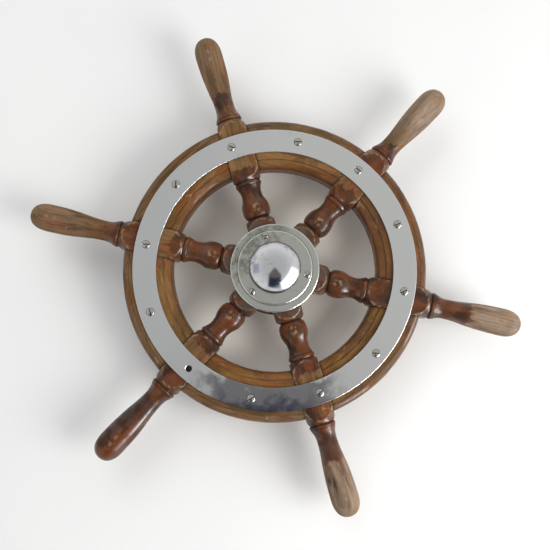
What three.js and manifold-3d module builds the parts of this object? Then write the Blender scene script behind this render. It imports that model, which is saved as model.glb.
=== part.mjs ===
// A six-spoke ship's wheel in turned hardwood with a bright face ring, on a short shaft in a flanged bearing.
// Millimetres, +Z up: the wheel's axis is Z, its front faces up, and z = 0 is the bearing's mounting face.
import * as THREE from "three";
import { mergeVertices } from "three/addons/utils/BufferGeometryUtils.js";
import Module from "manifold-3d";

const wasm = await Module();
wasm.setup();

// Driving dimensions
const SPOKES = 6;
const FIRST_SPOKE = 47; // degrees anticlockwise from +X
const TIP_RADIUS = 305;
const SPOKE_HEIGHT = 50; // the spokes' centre plane above the mounting face
const BLOCK = 34.5; // square section of a spoke where it is not turned
const RIM_INNER = 123;
const RIM_OUTER = 183;
const RING_INNER = 141.5;
const RING_OUTER = 169.5;
const RING_THICK = 3;
const RING_TURN = 2.7; // degrees that the ring's screws stand past the spokes' centre lines
const NAVE_RADIUS = 53.5;
const NAVE_PLATE_THICK = 3.5;
const CAP_RING_RADIUS = 44.8;
const CAP_RING_THICK = 3;
const DOME_RADIUS = 30;
const DOME_HEIGHT = 24;
const SHAFT_RADIUS = 12.5;
const BARREL_RADIUS = 22;
const FLANGE_RADIUS = 46;
const GAP = 0.3; // between pieces that touch

// Derived sizes
const PITCH = 360 / SPOKES;
const HALF = BLOCK / 2;
const CORNER = HALF * Math.SQRT2;
const WOOD_TOP = SPOKE_HEIGHT + HALF;
const WOOD_BACK = SPOKE_HEIGHT - HALF;
const RING_Z = WOOD_TOP + GAP;
const SCREW_RADIUS = (RING_INNER + RING_OUTER) / 2 + 1;
const PLATE_Z = WOOD_TOP + GAP;
const CAP_Z = PLATE_Z + NAVE_PLATE_THICK + GAP;

// Colours, roughness and metalness of the finishes
const FINISHES = {
  varnished_wood: { color: 0x6b3520, roughness: 0.35, metalness: 0 },
  rim_wood: { color: 0x9a6233, roughness: 0.5, metalness: 0 },
  dowel_wood: { color: 0xc49a64, roughness: 0.8, metalness: 0 },
  ring_chrome: { color: 0xb4babd, roughness: 0.25, metalness: 1 },
  dome_chrome: { color: 0xd8dadc, roughness: 0.05, metalness: 1 },
  nave_metal: { color: 0x9ea39a, roughness: 0.45, metalness: 1 },
  screw_metal: { color: 0xc4c4bd, roughness: 0.3, metalness: 1 },
  steel: { color: 0x7d8084, roughness: 0.4, metalness: 1 },
  cast_bronze: { color: 0x8a6a3c, roughness: 0.5, metalness: 1 },
};

const radians = THREE.MathUtils.degToRad;

// Solids: a closed three.js geometry to a manifold and back.
function solidOf(geometry) {
  const bare = geometry.clone();
  bare.deleteAttribute("normal");
  bare.deleteAttribute("uv");
  const merged = mergeVertices(bare, 1e-4);
  return new wasm.Manifold(
    new wasm.Mesh({
      numProp: 3,
      vertProperties: new Float32Array(merged.attributes.position.array),
      triVerts: new Uint32Array(merged.index.array),
    }),
  );
}

function geometryOf(solid) {
  const mesh = solid.getMesh();
  const indexed = new THREE.BufferGeometry();
  indexed.setAttribute("position", new THREE.BufferAttribute(mesh.vertProperties, 3));
  indexed.setIndex(new THREE.BufferAttribute(mesh.triVerts, 1));
  const faceted = indexed.toNonIndexed();
  faceted.computeVertexNormals();
  return faceted;
}

// A turned solid about Z from a Path of (radius, height) that runs up its outside.
function turned(path, sides, divisions = 2) {
  return new THREE.LatheGeometry(path.getPoints(divisions), sides).rotateX(Math.PI / 2);
}

function pathOf(points) {
  const path = new THREE.Path();
  path.moveTo(...points[0]);
  points.slice(1).forEach((point) => path.lineTo(...point));
  return path;
}

function turnedSolid(points, sides) {
  return solidOf(turned(pathOf(points), sides));
}

// A flat ring or a sleeve: a rectangle turned about Z.
function sleeve(inner, outer, bottom, top, sides) {
  return turnedSolid(
    [[inner, bottom], [outer, bottom], [outer, top], [inner, top], [inner, bottom]],
    sides,
  );
}

function rod(radius, bottom, top, sides = 12) {
  return turnedSolid([[0, bottom], [radius, bottom], [radius, top], [0, top]], sides);
}

function box(x, y, z) {
  return solidOf(new THREE.BoxGeometry(x, y, z));
}

function prism(corners, bottom, top) {
  const shape = new THREE.Shape(corners.map(([x, y]) => new THREE.Vector2(x, y)));
  const depth = top - bottom;
  const geometry = new THREE.ExtrudeGeometry(shape, { depth, bevelEnabled: false });
  return solidOf(geometry.translate(0, 0, bottom));
}

function around(radius, degrees) {
  return [radius * Math.cos(radians(degrees)), radius * Math.sin(radians(degrees))];
}

const model = new THREE.Group();
const wheel = new THREE.Group();
model.add(wheel);

function add(parent, name, finish, solid) {
  const material = new THREE.MeshStandardMaterial({ name: finish, ...FINISHES[finish] });
  const mesh = new THREE.Mesh(geometryOf(solid), material);
  mesh.name = name;
  parent.add(mesh);
  return mesh;
}

// A group that carries what is made about its own +X out to one place round the wheel.
function turnedGroup(degrees, height = 0) {
  const group = new THREE.Group();
  group.rotation.z = radians(degrees);
  group.position.z = height;
  wheel.add(group);
  return group;
}

// Screws and bolts: a countersunk slotted head at z = 0 and a shank below it.
const SCREW_SIDES = 8;
const RING_SCREW = { head: 4.7, cone: 2.6, shank: 2.2, length: 16, rise: 1.3, slot: 1.2 };
const CAP_SCREW = { head: 3.6, cone: 2.0, shank: 1.7, length: 6.4, rise: 1.2, slot: 1.0 };
const NAVE_BOLT = { head: 5.4, cone: 2.9, shank: 3, length: 42, rise: 0, slot: 1.5 };
const SLOT_DEPTH = 1.2;
const HEAD_EDGE = 0.2; // the short cylinder at a countersunk head's rim

function screwSolid(screw) {
  const { head, cone, shank, length, rise, slot } = screw;
  const path = new THREE.Path();
  path.moveTo(0, -length);
  path.lineTo(shank * 0.8, -length);
  path.lineTo(shank, 1 - length);
  path.lineTo(shank, -cone);
  path.lineTo(head, -HEAD_EDGE);
  path.lineTo(head, 0);
  if (rise) path.lineTo(head * 0.6, rise * 0.75);
  path.lineTo(0, rise);
  // The slot is cut to SLOT_DEPTH below the surface that the head is sunk in.
  const cutter = box(head * 3, slot, SLOT_DEPTH * 2 + rise).translate([0, 0, rise / 2]);
  return solidOf(turned(path, SCREW_SIDES)).subtract(cutter);
}

// The hole's flats clear the screw's corners however the screw is turned.
function screwHole(screw) {
  const across = 1 / Math.cos(Math.PI / SCREW_SIDES);
  const shank = (screw.shank + GAP) * across;
  const head = (screw.head + GAP) * across;
  const bottom = -screw.length - GAP;
  return turnedSolid(
    [
      [0, bottom],
      [shank, bottom],
      [shank, -screw.cone - GAP],
      [head, -HEAD_EDGE - GAP],
      [head, 1],
      [0, 1],
    ],
    SCREW_SIDES,
  );
}

// Dowels: each joins a spoke's block to a felloe, across the joint and behind the ring screws.
const DOWEL = { radius: 5, inBlock: 14, inFelloe: 20, rimRadius: 153.5, drop: 4 };

function dowelRod(radius, extra) {
  return rod(radius, -DOWEL.inBlock - extra, DOWEL.inFelloe + extra, 8);
}

// The dowel's hole at one side of a spoke: side is +1 to the left of the spoke looking out, -1 to the right.
function dowelHole(side) {
  return dowelRod(DOWEL.radius + GAP, GAP)
    .rotate([-90 * side, 0, 0])
    .translate([DOWEL.rimRadius, side * HALF, -DOWEL.drop]);
}

// Spoke and handle, one turned piece: a mitred square end, a vase, a bead, a square block, a handle.
const HUB_SHOULDER = { start: 42.5, reach: 27.7 }; // an ellipse that starts at the square's corners
const NOTCH = { at: 66.3, radius: 12.8, square: 13.2 };
const VASE = { start: 66.6, belly: 77, neck: 98.5, end: 107 };
const VASE_RADII = { start: 12.9, belly: 17.1, neck: 12.9, end: 14.9 };
const BEAD = { start: 107.4, end: 113, radius: 16.2, fillet: 14.7 };
const RIM_SHOULDER_IN = { foot: 113.3, radius: 15.3, end: 130.5 };
const RIM_SHOULDER_OUT = { start: 170.5, foot: 191.5, radius: 15.5 };
const GROOVE = { end: 192.6, radius: 14.3 };
const COLLAR = { end: 196.8, radius: 16.1, fillet: 15.1 };
const HANDLE = { flare: 15.5, waist: 12, waistAt: 212, middle: 15.1, middleAt: 246, swell: 16.7, swellAt: 282 };

function spokeOutline() {
  const wide = HALF * 1.6; // clears the square's corners
  const path = new THREE.Path();
  path.moveTo(0, BARREL_RADIUS - 4);
  path.lineTo(wide, BARREL_RADIUS - 4);
  path.lineTo(wide, HUB_SHOULDER.start);
  const turn = Math.acos(NOTCH.square / CORNER);
  path.absellipse(0, HUB_SHOULDER.start, CORNER, HUB_SHOULDER.reach, 0, turn, false);
  path.lineTo(NOTCH.radius, NOTCH.at);
  path.lineTo(VASE_RADII.start, VASE.start);
  const { belly, neck } = VASE_RADII;
  path.bezierCurveTo(VASE_RADII.start + 2.3, VASE.start + 1, belly, VASE.belly - 5.5, belly, VASE.belly);
  const half = (VASE.belly + VASE.neck) / 2;
  path.bezierCurveTo(belly, half, neck, half, neck, VASE.neck);
  path.bezierCurveTo(neck, VASE.neck + 3.5, VASE_RADII.end - 1, VASE.end - 2.5, VASE_RADII.end, VASE.end);
  path.lineTo(BEAD.fillet, BEAD.start);
  const middle = (BEAD.start + BEAD.end) / 2;
  path.quadraticCurveTo(BEAD.radius, BEAD.start, BEAD.radius, middle);
  path.quadraticCurveTo(BEAD.radius, BEAD.end, BEAD.fillet, BEAD.end);
  const inner = RIM_SHOULDER_IN;
  path.lineTo(inner.radius, inner.foot);
  path.bezierCurveTo(HALF, inner.foot + 3, CORNER - 1, inner.foot + 6.2, CORNER, inner.end);
  path.lineTo(wide, inner.end);
  const outer = RIM_SHOULDER_OUT;
  path.lineTo(wide, outer.start);
  path.lineTo(CORNER, outer.start);
  path.bezierCurveTo(CORNER - 0.6, outer.start + 11.5, HALF, outer.foot - 6, outer.radius, outer.foot);
  path.lineTo(GROOVE.radius, outer.foot + 0.2);
  path.lineTo(GROOVE.radius, GROOVE.end);
  const ridge = (GROOVE.end + COLLAR.end) / 2;
  path.lineTo(COLLAR.fillet, GROOVE.end);
  path.quadraticCurveTo(COLLAR.radius, GROOVE.end + 0.3, COLLAR.radius, ridge);
  path.quadraticCurveTo(COLLAR.radius, COLLAR.end - 0.3, COLLAR.fillet, COLLAR.end);
  const { flare, waist, waistAt, middle: part, middleAt, swell, swellAt } = HANDLE;
  path.lineTo(flare, COLLAR.end + 0.2);
  path.bezierCurveTo(flare - 1.6, COLLAR.end + 4.7, waist, waistAt - 8, waist, waistAt);
  path.bezierCurveTo(waist, waistAt + 12, part - 1.5, middleAt - 14, part, middleAt);
  path.bezierCurveTo(part + 1, middleAt + 10, swell, swellAt - 14, swell, swellAt);
  path.bezierCurveTo(swell, TIP_RADIUS - 11, swell * 0.75, TIP_RADIUS, 0, TIP_RADIUS);
  return path;
}

function spokeSolid() {
  const lathed = new THREE.LatheGeometry(spokeOutline().getPoints(2), 12).rotateZ(-Math.PI / 2);
  const length = TIP_RADIUS * 2;
  const square = box(length, BLOCK, BLOCK).translate([length / 2, 0, 0]);
  // The handle stays inside the square; the inner end is mitred against its neighbours.
  const slope = Math.tan(radians(PITCH / 2));
  const reach = TIP_RADIUS + 10;
  const wedge = prism([[GAP, 0], [reach, -reach * slope], [reach, reach * slope]], -HALF - 1, HALF + 1);
  const barrel = rod(BARREL_RADIUS + 2 * GAP, -HALF - 1, HALF + 1, 30);
  const bolt = rod(NAVE_BOLT.shank + GAP, -HALF - 1, HALF + 1, 8).translate([BOLT_CIRCLE, 0, 0]);
  const screwTop = RING_Z + RING_THICK - SPOKE_HEIGHT;
  const screw = screwHole(RING_SCREW).translate([...around(SCREW_RADIUS, RING_TURN), screwTop]);
  return solidOf(lathed)
    .intersect(square)
    .intersect(wedge)
    .subtract(barrel)
    .subtract(bolt)
    .subtract(screw)
    .subtract(dowelHole(1))
    .subtract(dowelHole(-1));
}

// Felloe: the stretch of rim between two blocks, with a flat face, a quirk and a round-over each side.
const ROUND_IN = { radial: 10.5, deep: 9.5 };
const ROUND_OUT = { radial: 8.8, deep: 9.5 };
const QUIRK = 1.3;

function rimOutline() {
  const quarter = Math.PI / 2;
  const low = -HALF + ROUND_OUT.deep;
  const high = HALF - QUIRK - ROUND_OUT.deep;
  const outer = RIM_OUTER - ROUND_OUT.radial;
  const inner = RIM_INNER + ROUND_IN.radial;
  const path = new THREE.Path();
  path.moveTo(inner, -HALF);
  path.lineTo(outer, -HALF);
  path.absellipse(outer, low, ROUND_OUT.radial, ROUND_OUT.deep, -quarter, 0, false);
  path.absellipse(outer, high, ROUND_OUT.radial, ROUND_OUT.deep, 0, quarter, false);
  path.lineTo(outer - 0.3, HALF);
  path.lineTo(inner + 0.3, HALF);
  path.lineTo(inner, HALF - QUIRK);
  path.absellipse(inner, high, ROUND_IN.radial, ROUND_IN.deep, quarter, 2 * quarter, false);
  path.absellipse(inner, low, ROUND_IN.radial, ROUND_IN.deep, 2 * quarter, 3 * quarter, false);
  path.closePath();
  return path;
}

// Made about +X, the middle of its stretch.
function felloeSolid() {
  const side = HALF + GAP;
  const apex = side / Math.sin(radians(PITCH / 2));
  const far = RIM_OUTER * 1.3;
  const rise = (far - apex) * Math.tan(radians(PITCH / 2));
  const stretch = prism([[apex, 0], [far, -rise], [far, rise]], -HALF - 1, HALF + 1);
  const turnedRim = solidOf(turned(rimOutline(), 48, 1));
  const screwTop = RING_Z + RING_THICK - SPOKE_HEIGHT;
  const screw = screwHole(RING_SCREW).translate([...around(SCREW_RADIUS, RING_TURN), screwTop]);
  return turnedRim
    .intersect(stretch)
    .subtract(screw)
    .subtract(dowelHole(1).rotate([0, 0, -PITCH / 2]))
    .subtract(dowelHole(-1).rotate([0, 0, PITCH / 2]));
}

// Face ring: a flat ring with eased edges and twelve countersunk holes, made at its own height.
const RING_SCREWS = SPOKES * 2;

function ringSolid() {
  const ease = 0.7;
  const plate = turnedSolid(
    [
      [RING_INNER, 0],
      [RING_OUTER, 0],
      [RING_OUTER, RING_THICK - ease],
      [RING_OUTER - ease, RING_THICK],
      [RING_INNER + ease, RING_THICK],
      [RING_INNER, RING_THICK - ease],
      [RING_INNER, 0],
    ],
    60,
  );
  const hole = screwHole(RING_SCREW).translate([SCREW_RADIUS, 0, RING_THICK]);
  let ring = plate;
  for (let k = 0; k < RING_SCREWS; k += 1) {
    const turn = FIRST_SPOKE + RING_TURN + (k * 360) / RING_SCREWS;
    ring = ring.subtract(hole.rotate([0, 0, turn]));
  }
  return ring;
}

// Nave: a keyed hub casting, a front plate over the spokes' ends, and six bolts between them.
const BOLT_CIRCLE = 31;
const BACK_FLANGE_THICK = 4;
const KEY = { width: 8, height: 7, length: 30 };
const KEY_Z = 50;
const BARREL_TOP = PLATE_Z + NAVE_PLATE_THICK - 1.2;

function keyway(clearance) {
  const width = KEY.width + 2 * clearance;
  const height = KEY.height + 2 * clearance;
  return box(height, width, KEY.length + 2 * clearance).translate([SHAFT_RADIUS, 0, KEY_Z]);
}

function hubCastingSolid() {
  const back = WOOD_BACK - GAP;
  const front = back - BACK_FLANGE_THICK;
  const bore = SHAFT_RADIUS + GAP;
  const casting = turnedSolid(
    [
      [bore, front],
      [NAVE_RADIUS, front],
      [NAVE_RADIUS, back],
      [BARREL_RADIUS, back],
      [BARREL_RADIUS, BARREL_TOP],
      [bore, BARREL_TOP],
      [bore, front],
    ],
    30,
  );
  // The keyway is open at the front, so the key goes in from there.
  const slot = box(KEY.height + 2 * GAP, KEY.width + 2 * GAP, KEY.length * 2);
  const slotZ = KEY_Z + KEY.length / 2 - GAP;
  let drilled = casting.subtract(slot.translate([SHAFT_RADIUS, 0, slotZ]));
  for (let k = 0; k < SPOKES; k += 1) {
    const hole = rod(NAVE_BOLT.shank + GAP, front - 1, back + 1, 8);
    const turn = FIRST_SPOKE + k * PITCH;
    drilled = drilled.subtract(hole.translate([BOLT_CIRCLE, 0, 0]).rotate([0, 0, turn]));
  }
  return drilled;
}

const CAP_SCREW_CIRCLE = 39.6;
const CAP_SCREW_TURNS = [1, 3, 5]; // over every other spoke

function frontPlateSolid() {
  const top = PLATE_Z + NAVE_PLATE_THICK;
  const bore = BARREL_RADIUS + GAP;
  const ease = 0.8;
  let plate = turnedSolid(
    [
      [bore, PLATE_Z],
      [NAVE_RADIUS, PLATE_Z],
      [NAVE_RADIUS, top - ease],
      [NAVE_RADIUS - ease, top],
      [bore, top],
      [bore, PLATE_Z],
    ],
    30,
  );
  const boltHole = screwHole(NAVE_BOLT).translate([BOLT_CIRCLE, 0, top]);
  for (let k = 0; k < SPOKES; k += 1) {
    plate = plate.subtract(boltHole.rotate([0, 0, FIRST_SPOKE + k * PITCH]));
  }
  const screwBore = rod(CAP_SCREW.shank + GAP, PLATE_Z - 1, top + 1, 8);
  for (const k of CAP_SCREW_TURNS) {
    const turn = FIRST_SPOKE + k * PITCH;
    plate = plate.subtract(screwBore.translate([CAP_SCREW_CIRCLE, 0, 0]).rotate([0, 0, turn]));
  }
  return plate;
}

// Cap: a ring with a stepped opening that holds the dome's lip down on the plate.
const DOME_LIP = { radius: 33.5, thick: 1.2 };
const DOME_WALL = 1.5;
const DOME_PLAY = 0.8; // the gap that shows round the dome
const DOME_CROWN = 13.4; // height of the crown, a stretch of a sphere, above the dome's straight side

function capRingSolid() {
  const top = CAP_Z + CAP_RING_THICK;
  const ease = 0.9;
  const step = CAP_Z + DOME_LIP.thick + GAP;
  let ring = turnedSolid(
    [
      [DOME_LIP.radius + GAP, CAP_Z],
      [CAP_RING_RADIUS, CAP_Z],
      [CAP_RING_RADIUS, top - ease],
      [CAP_RING_RADIUS - ease, top],
      [DOME_RADIUS + DOME_PLAY, top],
      [DOME_RADIUS + DOME_PLAY, step],
      [DOME_LIP.radius + GAP, step],
      [DOME_LIP.radius + GAP, CAP_Z],
    ],
    30,
  );
  const hole = screwHole(CAP_SCREW).translate([CAP_SCREW_CIRCLE, 0, top]);
  for (const k of CAP_SCREW_TURNS) {
    ring = ring.subtract(hole.rotate([0, 0, FIRST_SPOKE + k * PITCH]));
  }
  return ring;
}

function domeSolid() {
  const lipTop = CAP_Z + DOME_LIP.thick;
  const quarter = Math.PI / 2;
  const inner = DOME_RADIUS - DOME_WALL;
  const round = (DOME_RADIUS ** 2 + DOME_CROWN ** 2) / (2 * DOME_CROWN); // the sphere's radius
  const centre = lipTop + DOME_HEIGHT - round;
  const edge = Math.acos(DOME_RADIUS / round);
  const innerEdge = Math.acos(inner / (round - DOME_WALL));
  const path = new THREE.Path();
  path.moveTo(inner, CAP_Z);
  path.lineTo(DOME_LIP.radius, CAP_Z);
  path.lineTo(DOME_LIP.radius, lipTop);
  path.lineTo(DOME_RADIUS, lipTop);
  path.absarc(0, centre, round, edge, quarter, false);
  path.lineTo(0, centre + round - DOME_WALL);
  path.absarc(0, centre, round - DOME_WALL, quarter, innerEdge, true);
  path.lineTo(inner, CAP_Z);
  return solidOf(turned(path, 24));
}

// Shaft: journal, keyway, threaded nose with washer and nut; a washer and screw keep it at the back.
const SHAFT_BACK = 4.5;
const SHAFT_EASE = 1;
const NOSE_RADIUS = 10;
const NUT = { acrossCorners: 34.6, thick: 13 };
const WASHER = { radius: 17.5, thick: 2.5 };
const KEEPER = { radius: 17, thick: 2.5 };
const KEEPER_SCREW = { radius: 4, depth: 16, head: 6.5, headThick: 1, slot: 1.6, slotDeep: 0.6 };
const washerBottom = BARREL_TOP + GAP;
const nutBottom = washerBottom + WASHER.thick + GAP;
const noseTop = nutBottom + NUT.thick + 2;

function shaftSolid() {
  const shoulder = BARREL_TOP - SHAFT_EASE;
  const shaft = turnedSolid(
    [
      [0, SHAFT_BACK],
      [SHAFT_RADIUS - SHAFT_EASE, SHAFT_BACK],
      [SHAFT_RADIUS, SHAFT_BACK + SHAFT_EASE],
      [SHAFT_RADIUS, shoulder],
      [NOSE_RADIUS, shoulder],
      [NOSE_RADIUS, noseTop - SHAFT_EASE],
      [NOSE_RADIUS - SHAFT_EASE, noseTop],
      [0, noseTop],
    ],
    24,
  );
  const bottom = SHAFT_BACK - 1;
  const tapped = rod(KEEPER_SCREW.radius + GAP, bottom, SHAFT_BACK + KEEPER_SCREW.depth + 1);
  return shaft.subtract(keyway(GAP)).subtract(tapped);
}

function nutSolid() {
  const hexagon = new THREE.CylinderGeometry(NUT.acrossCorners / 2, NUT.acrossCorners / 2, NUT.thick, 6);
  const body = solidOf(hexagon.rotateX(Math.PI / 2)).translate([0, 0, nutBottom + NUT.thick / 2]);
  return body.subtract(rod(NOSE_RADIUS + GAP, nutBottom - 1, noseTop + 1, 24));
}

function keeperScrewSolid() {
  const { radius, depth, head, headThick, slot, slotDeep } = KEEPER_SCREW;
  const seat = SHAFT_BACK - GAP - KEEPER.thick - GAP;
  return turnedSolid(
    [
      [0, seat - headThick],
      [head, seat - headThick],
      [head, seat],
      [radius, seat],
      [radius, SHAFT_BACK + depth],
      [0, SHAFT_BACK + depth],
    ],
    16,
  ).subtract(box(head * 3, slot, slotDeep * 2).translate([0, 0, seat - headThick]));
}

// Bearing: a flanged housing with four mounting holes, a bronze bush and a thrust washer.
const HOUSING = { boss: 26, height: 26, flangeThick: 8, fillet: 3, edge: 1 };
const KEEPER_RECESS = { radius: KEEPER.radius + 2, deep: 6 };
const BUSH = { outer: 17, bottom: 9 };
const MOUNT_HOLE = { count: 4, circle: 36.5, radius: 3.3, first: 45 };

function housingSolid() {
  const { boss, height, flangeThick, fillet, edge } = HOUSING;
  const recess = KEEPER_RECESS.radius;
  const bore = BUSH.outer + GAP;
  const neck = (SHAFT_RADIUS + BUSH.outer) / 2;
  let housing = turnedSolid(
    [
      [recess, 0],
      [FLANGE_RADIUS, 0],
      [FLANGE_RADIUS, flangeThick - edge],
      [FLANGE_RADIUS - edge, flangeThick],
      [boss + fillet, flangeThick],
      [boss, flangeThick + fillet],
      [boss, height],
      [bore, height],
      [bore, BUSH.bottom - GAP],
      [neck, BUSH.bottom - GAP],
      [neck, KEEPER_RECESS.deep],
      [recess, KEEPER_RECESS.deep],
      [recess, 0],
    ],
    24,
  );
  const { count, circle, radius, first } = MOUNT_HOLE;
  const hole = rod(radius, -1, flangeThick + 1, 8).translate([circle, 0, 0]);
  for (let k = 0; k < count; k += 1) {
    housing = housing.subtract(hole.rotate([0, 0, first + (k * 360) / count]));
  }
  return housing;
}

// Assembly, from the mounting face forwards
add(model, "bearing_housing", "cast_bronze", housingSolid());
add(model, "bearing_bush", "cast_bronze",
  sleeve(SHAFT_RADIUS + GAP, BUSH.outer, BUSH.bottom, HOUSING.height, 24));
const flangeBack = WOOD_BACK - GAP - BACK_FLANGE_THICK;
add(model, "thrust_washer", "cast_bronze",
  sleeve(SHAFT_RADIUS + GAP, HOUSING.boss - 2, HOUSING.height + GAP, flangeBack - GAP, 24));

add(wheel, "wheel_shaft", "steel", shaftSolid());
const keeperTop = SHAFT_BACK - GAP;
add(wheel, "keeper_washer", "steel",
  sleeve(KEEPER_SCREW.radius + GAP, KEEPER.radius, keeperTop - KEEPER.thick, keeperTop, 24));
add(wheel, "keeper_screw", "steel", keeperScrewSolid());
add(wheel, "shaft_key", "steel", keyway(0));
add(wheel, "hub_casting", "cast_bronze", hubCastingSolid());
add(wheel, "shaft_washer", "steel",
  sleeve(NOSE_RADIUS + GAP, WASHER.radius, washerBottom, washerBottom + WASHER.thick, 24));
add(wheel, "shaft_nut", "steel", nutSolid());
add(wheel, "nave_front_plate", "nave_metal", frontPlateSolid());
add(wheel, "cap_ring", "nave_metal", capRingSolid());
add(wheel, "dome_cap", "dome_chrome", domeSolid());

// How far each screw's slot stands turned from the wheel's X axis, as the screws happened to pull up.
const CAP_SLOTS = [10, 60, 35];
CAP_SCREW_TURNS.forEach((k, i) => {
  const turn = FIRST_SPOKE + k * PITCH;
  const screw = add(wheel, `cap_screw_${i + 1}`, "screw_metal", screwSolid(CAP_SCREW));
  screw.position.set(...around(CAP_SCREW_CIRCLE, turn), CAP_Z + CAP_RING_THICK);
  screw.rotation.z = radians(CAP_SLOTS[i]);
});

const spoke = spokeSolid();
const felloe = felloeSolid();
const dowel = dowelRod(DOWEL.radius, 0);
for (let k = 0; k < SPOKES; k += 1) {
  const number = k + 1;
  const spokeGroup = turnedGroup(FIRST_SPOKE + k * PITCH, SPOKE_HEIGHT);
  add(spokeGroup, `spoke_${number}`, "varnished_wood", spoke);
  const bolt = add(spokeGroup, `nave_bolt_${number}`, "steel", screwSolid(NAVE_BOLT));
  bolt.position.set(BOLT_CIRCLE, 0, PLATE_Z + NAVE_PLATE_THICK - SPOKE_HEIGHT);
  for (const side of [1, -1]) {
    const hand = side > 0 ? "left" : "right";
    const peg = add(spokeGroup, `dowel_${number}_${hand}`, "dowel_wood", dowel);
    peg.position.set(DOWEL.rimRadius, side * HALF, -DOWEL.drop);
    peg.rotation.x = radians(-90 * side);
  }
  const felloeGroup = turnedGroup(FIRST_SPOKE + (k + 0.5) * PITCH, SPOKE_HEIGHT);
  add(felloeGroup, `felloe_${number}`, "rim_wood", felloe);
}

const faceRing = add(wheel, "face_ring", "ring_chrome", ringSolid());
faceRing.position.z = RING_Z;

// Ring screws, two to each spoke's pitch; one has been lost and leaves its hole open.
const LOST_SCREW = 6;
const RING_SLOTS = [-40, 0, -17, 90, 0, -76, 0, 30, 38, -5, 25, 20];
for (let k = 0; k < RING_SCREWS; k += 1) {
  if (k === LOST_SCREW) continue;
  const turn = FIRST_SPOKE + RING_TURN + (k * 360) / RING_SCREWS;
  const screw = add(wheel, `ring_screw_${k + 1}`, "screw_metal", screwSolid(RING_SCREW));
  screw.position.set(...around(SCREW_RADIUS, turn), RING_Z + RING_THICK);
  screw.rotation.z = radians(RING_SLOTS[k]);
}

export default model;
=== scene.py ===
# A six-spoke ship's wheel in turned hardwood, with a bright face ring, on a short shaft in a flanged bearing.
# Metres, +Z up: the wheel's axis is Z, its front faces up, and z = 0 is the bearing's mounting face.
import bisect
import math

import bmesh
import bpy
from mathutils import Matrix, Vector, noise


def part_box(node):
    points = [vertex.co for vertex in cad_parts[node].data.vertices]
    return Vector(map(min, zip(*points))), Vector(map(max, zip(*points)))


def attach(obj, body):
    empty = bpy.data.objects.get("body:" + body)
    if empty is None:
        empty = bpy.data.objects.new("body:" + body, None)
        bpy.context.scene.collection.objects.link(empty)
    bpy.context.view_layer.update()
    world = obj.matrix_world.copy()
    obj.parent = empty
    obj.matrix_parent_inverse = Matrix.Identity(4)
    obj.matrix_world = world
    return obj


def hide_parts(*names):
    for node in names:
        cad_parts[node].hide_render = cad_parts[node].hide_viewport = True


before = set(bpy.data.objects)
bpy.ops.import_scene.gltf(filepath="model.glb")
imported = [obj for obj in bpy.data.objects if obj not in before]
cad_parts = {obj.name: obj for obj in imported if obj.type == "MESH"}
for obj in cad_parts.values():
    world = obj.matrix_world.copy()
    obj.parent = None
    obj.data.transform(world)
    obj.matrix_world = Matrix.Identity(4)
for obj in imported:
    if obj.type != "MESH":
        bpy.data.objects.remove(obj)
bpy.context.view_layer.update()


# ---- The bench it stands on ----
# A white-painted board, matt and very slightly uneven in tone, with a warm tint painted in its middle as
# light bounced off the wheel. The bearing's flange stands on it.

def put(tree, kind, inputs=None, **settings):
    """Adds a shader node. A socket among its inputs is linked, and anything else is set as the value."""
    made = tree.nodes.new(kind)
    for name, value in settings.items():
        setattr(made, name, value)
    for name, value in (inputs or {}).items():
        if isinstance(value, bpy.types.NodeSocket):
            tree.links.new(value, made.inputs[name])
        else:
            made.inputs[name].default_value = value
    return made


def maths(tree, operation, a, b=0.0, clamp=False):
    return put(tree, "ShaderNodeMath", {0: a, 1: b}, operation=operation, use_clamp=clamp).outputs[0]


def plus(tree, a, b, clamp=False):
    return maths(tree, "ADD", a, b, clamp)


def less(tree, a, b, clamp=False):
    return maths(tree, "SUBTRACT", a, b, clamp)


def times(tree, a, b, clamp=False):
    return maths(tree, "MULTIPLY", a, b, clamp)


def ease_between(tree, value, low, high, at_low=0.0, at_high=1.0):
    """Turns value smoothly from at_low to at_high as it goes from low to high."""
    inputs = {"Value": value, "From Min": low, "From Max": high, "To Min": at_low, "To Max": at_high}
    return put(tree, "ShaderNodeMapRange", inputs, interpolation_type="SMOOTHSTEP").outputs[0]


def mixed(tree, share, first, second):
    """Colour first where share is 0, and second where it is 1."""
    made = put(tree, "ShaderNodeMix", {0: share}, data_type="RGBA")
    for slot, colour in ((6, first), (7, second)):
        if isinstance(colour, bpy.types.NodeSocket):
            tree.links.new(colour, made.inputs[slot])
        else:
            made.inputs[slot].default_value = (*colour, 1)
    return made.outputs[2]


def stained(tree, colour, where, share, stain):
    """The colour, with that share of the stain on it where the mask says."""
    return mixed(tree, times(tree, where, share), colour, stain)


def clouds(tree, vector, scale, detail=4.0, roughness=0.55):
    inputs = {"Vector": vector, "Scale": scale, "Detail": detail, "Roughness": roughness}
    return put(tree, "ShaderNodeTexNoise", inputs).outputs[0]


def new_finish(name):
    """A material of its own: the material, its tree, its shader and its object's coordinates."""
    finish = bpy.data.materials.new(name)
    finish.use_nodes = True
    tree = finish.node_tree
    place = tree.nodes.new("ShaderNodeTexCoord").outputs["Object"]
    return finish, tree, tree.nodes["Principled BSDF"], place


def join(tree, shader, **sockets):
    """Links or sets the shader's sockets. An underscore in a name stands for a space."""
    for name, value in sockets.items():
        socket = shader.inputs[name.replace("_", " ")]
        if isinstance(value, bpy.types.NodeSocket):
            tree.links.new(value, socket)
        else:
            socket.default_value = value


def bumped(tree, height, distance, strength=1.0):
    inputs = {"Height": height, "Distance": distance, "Strength": strength}
    return put(tree, "ShaderNodeBump", inputs).outputs[0]


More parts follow.
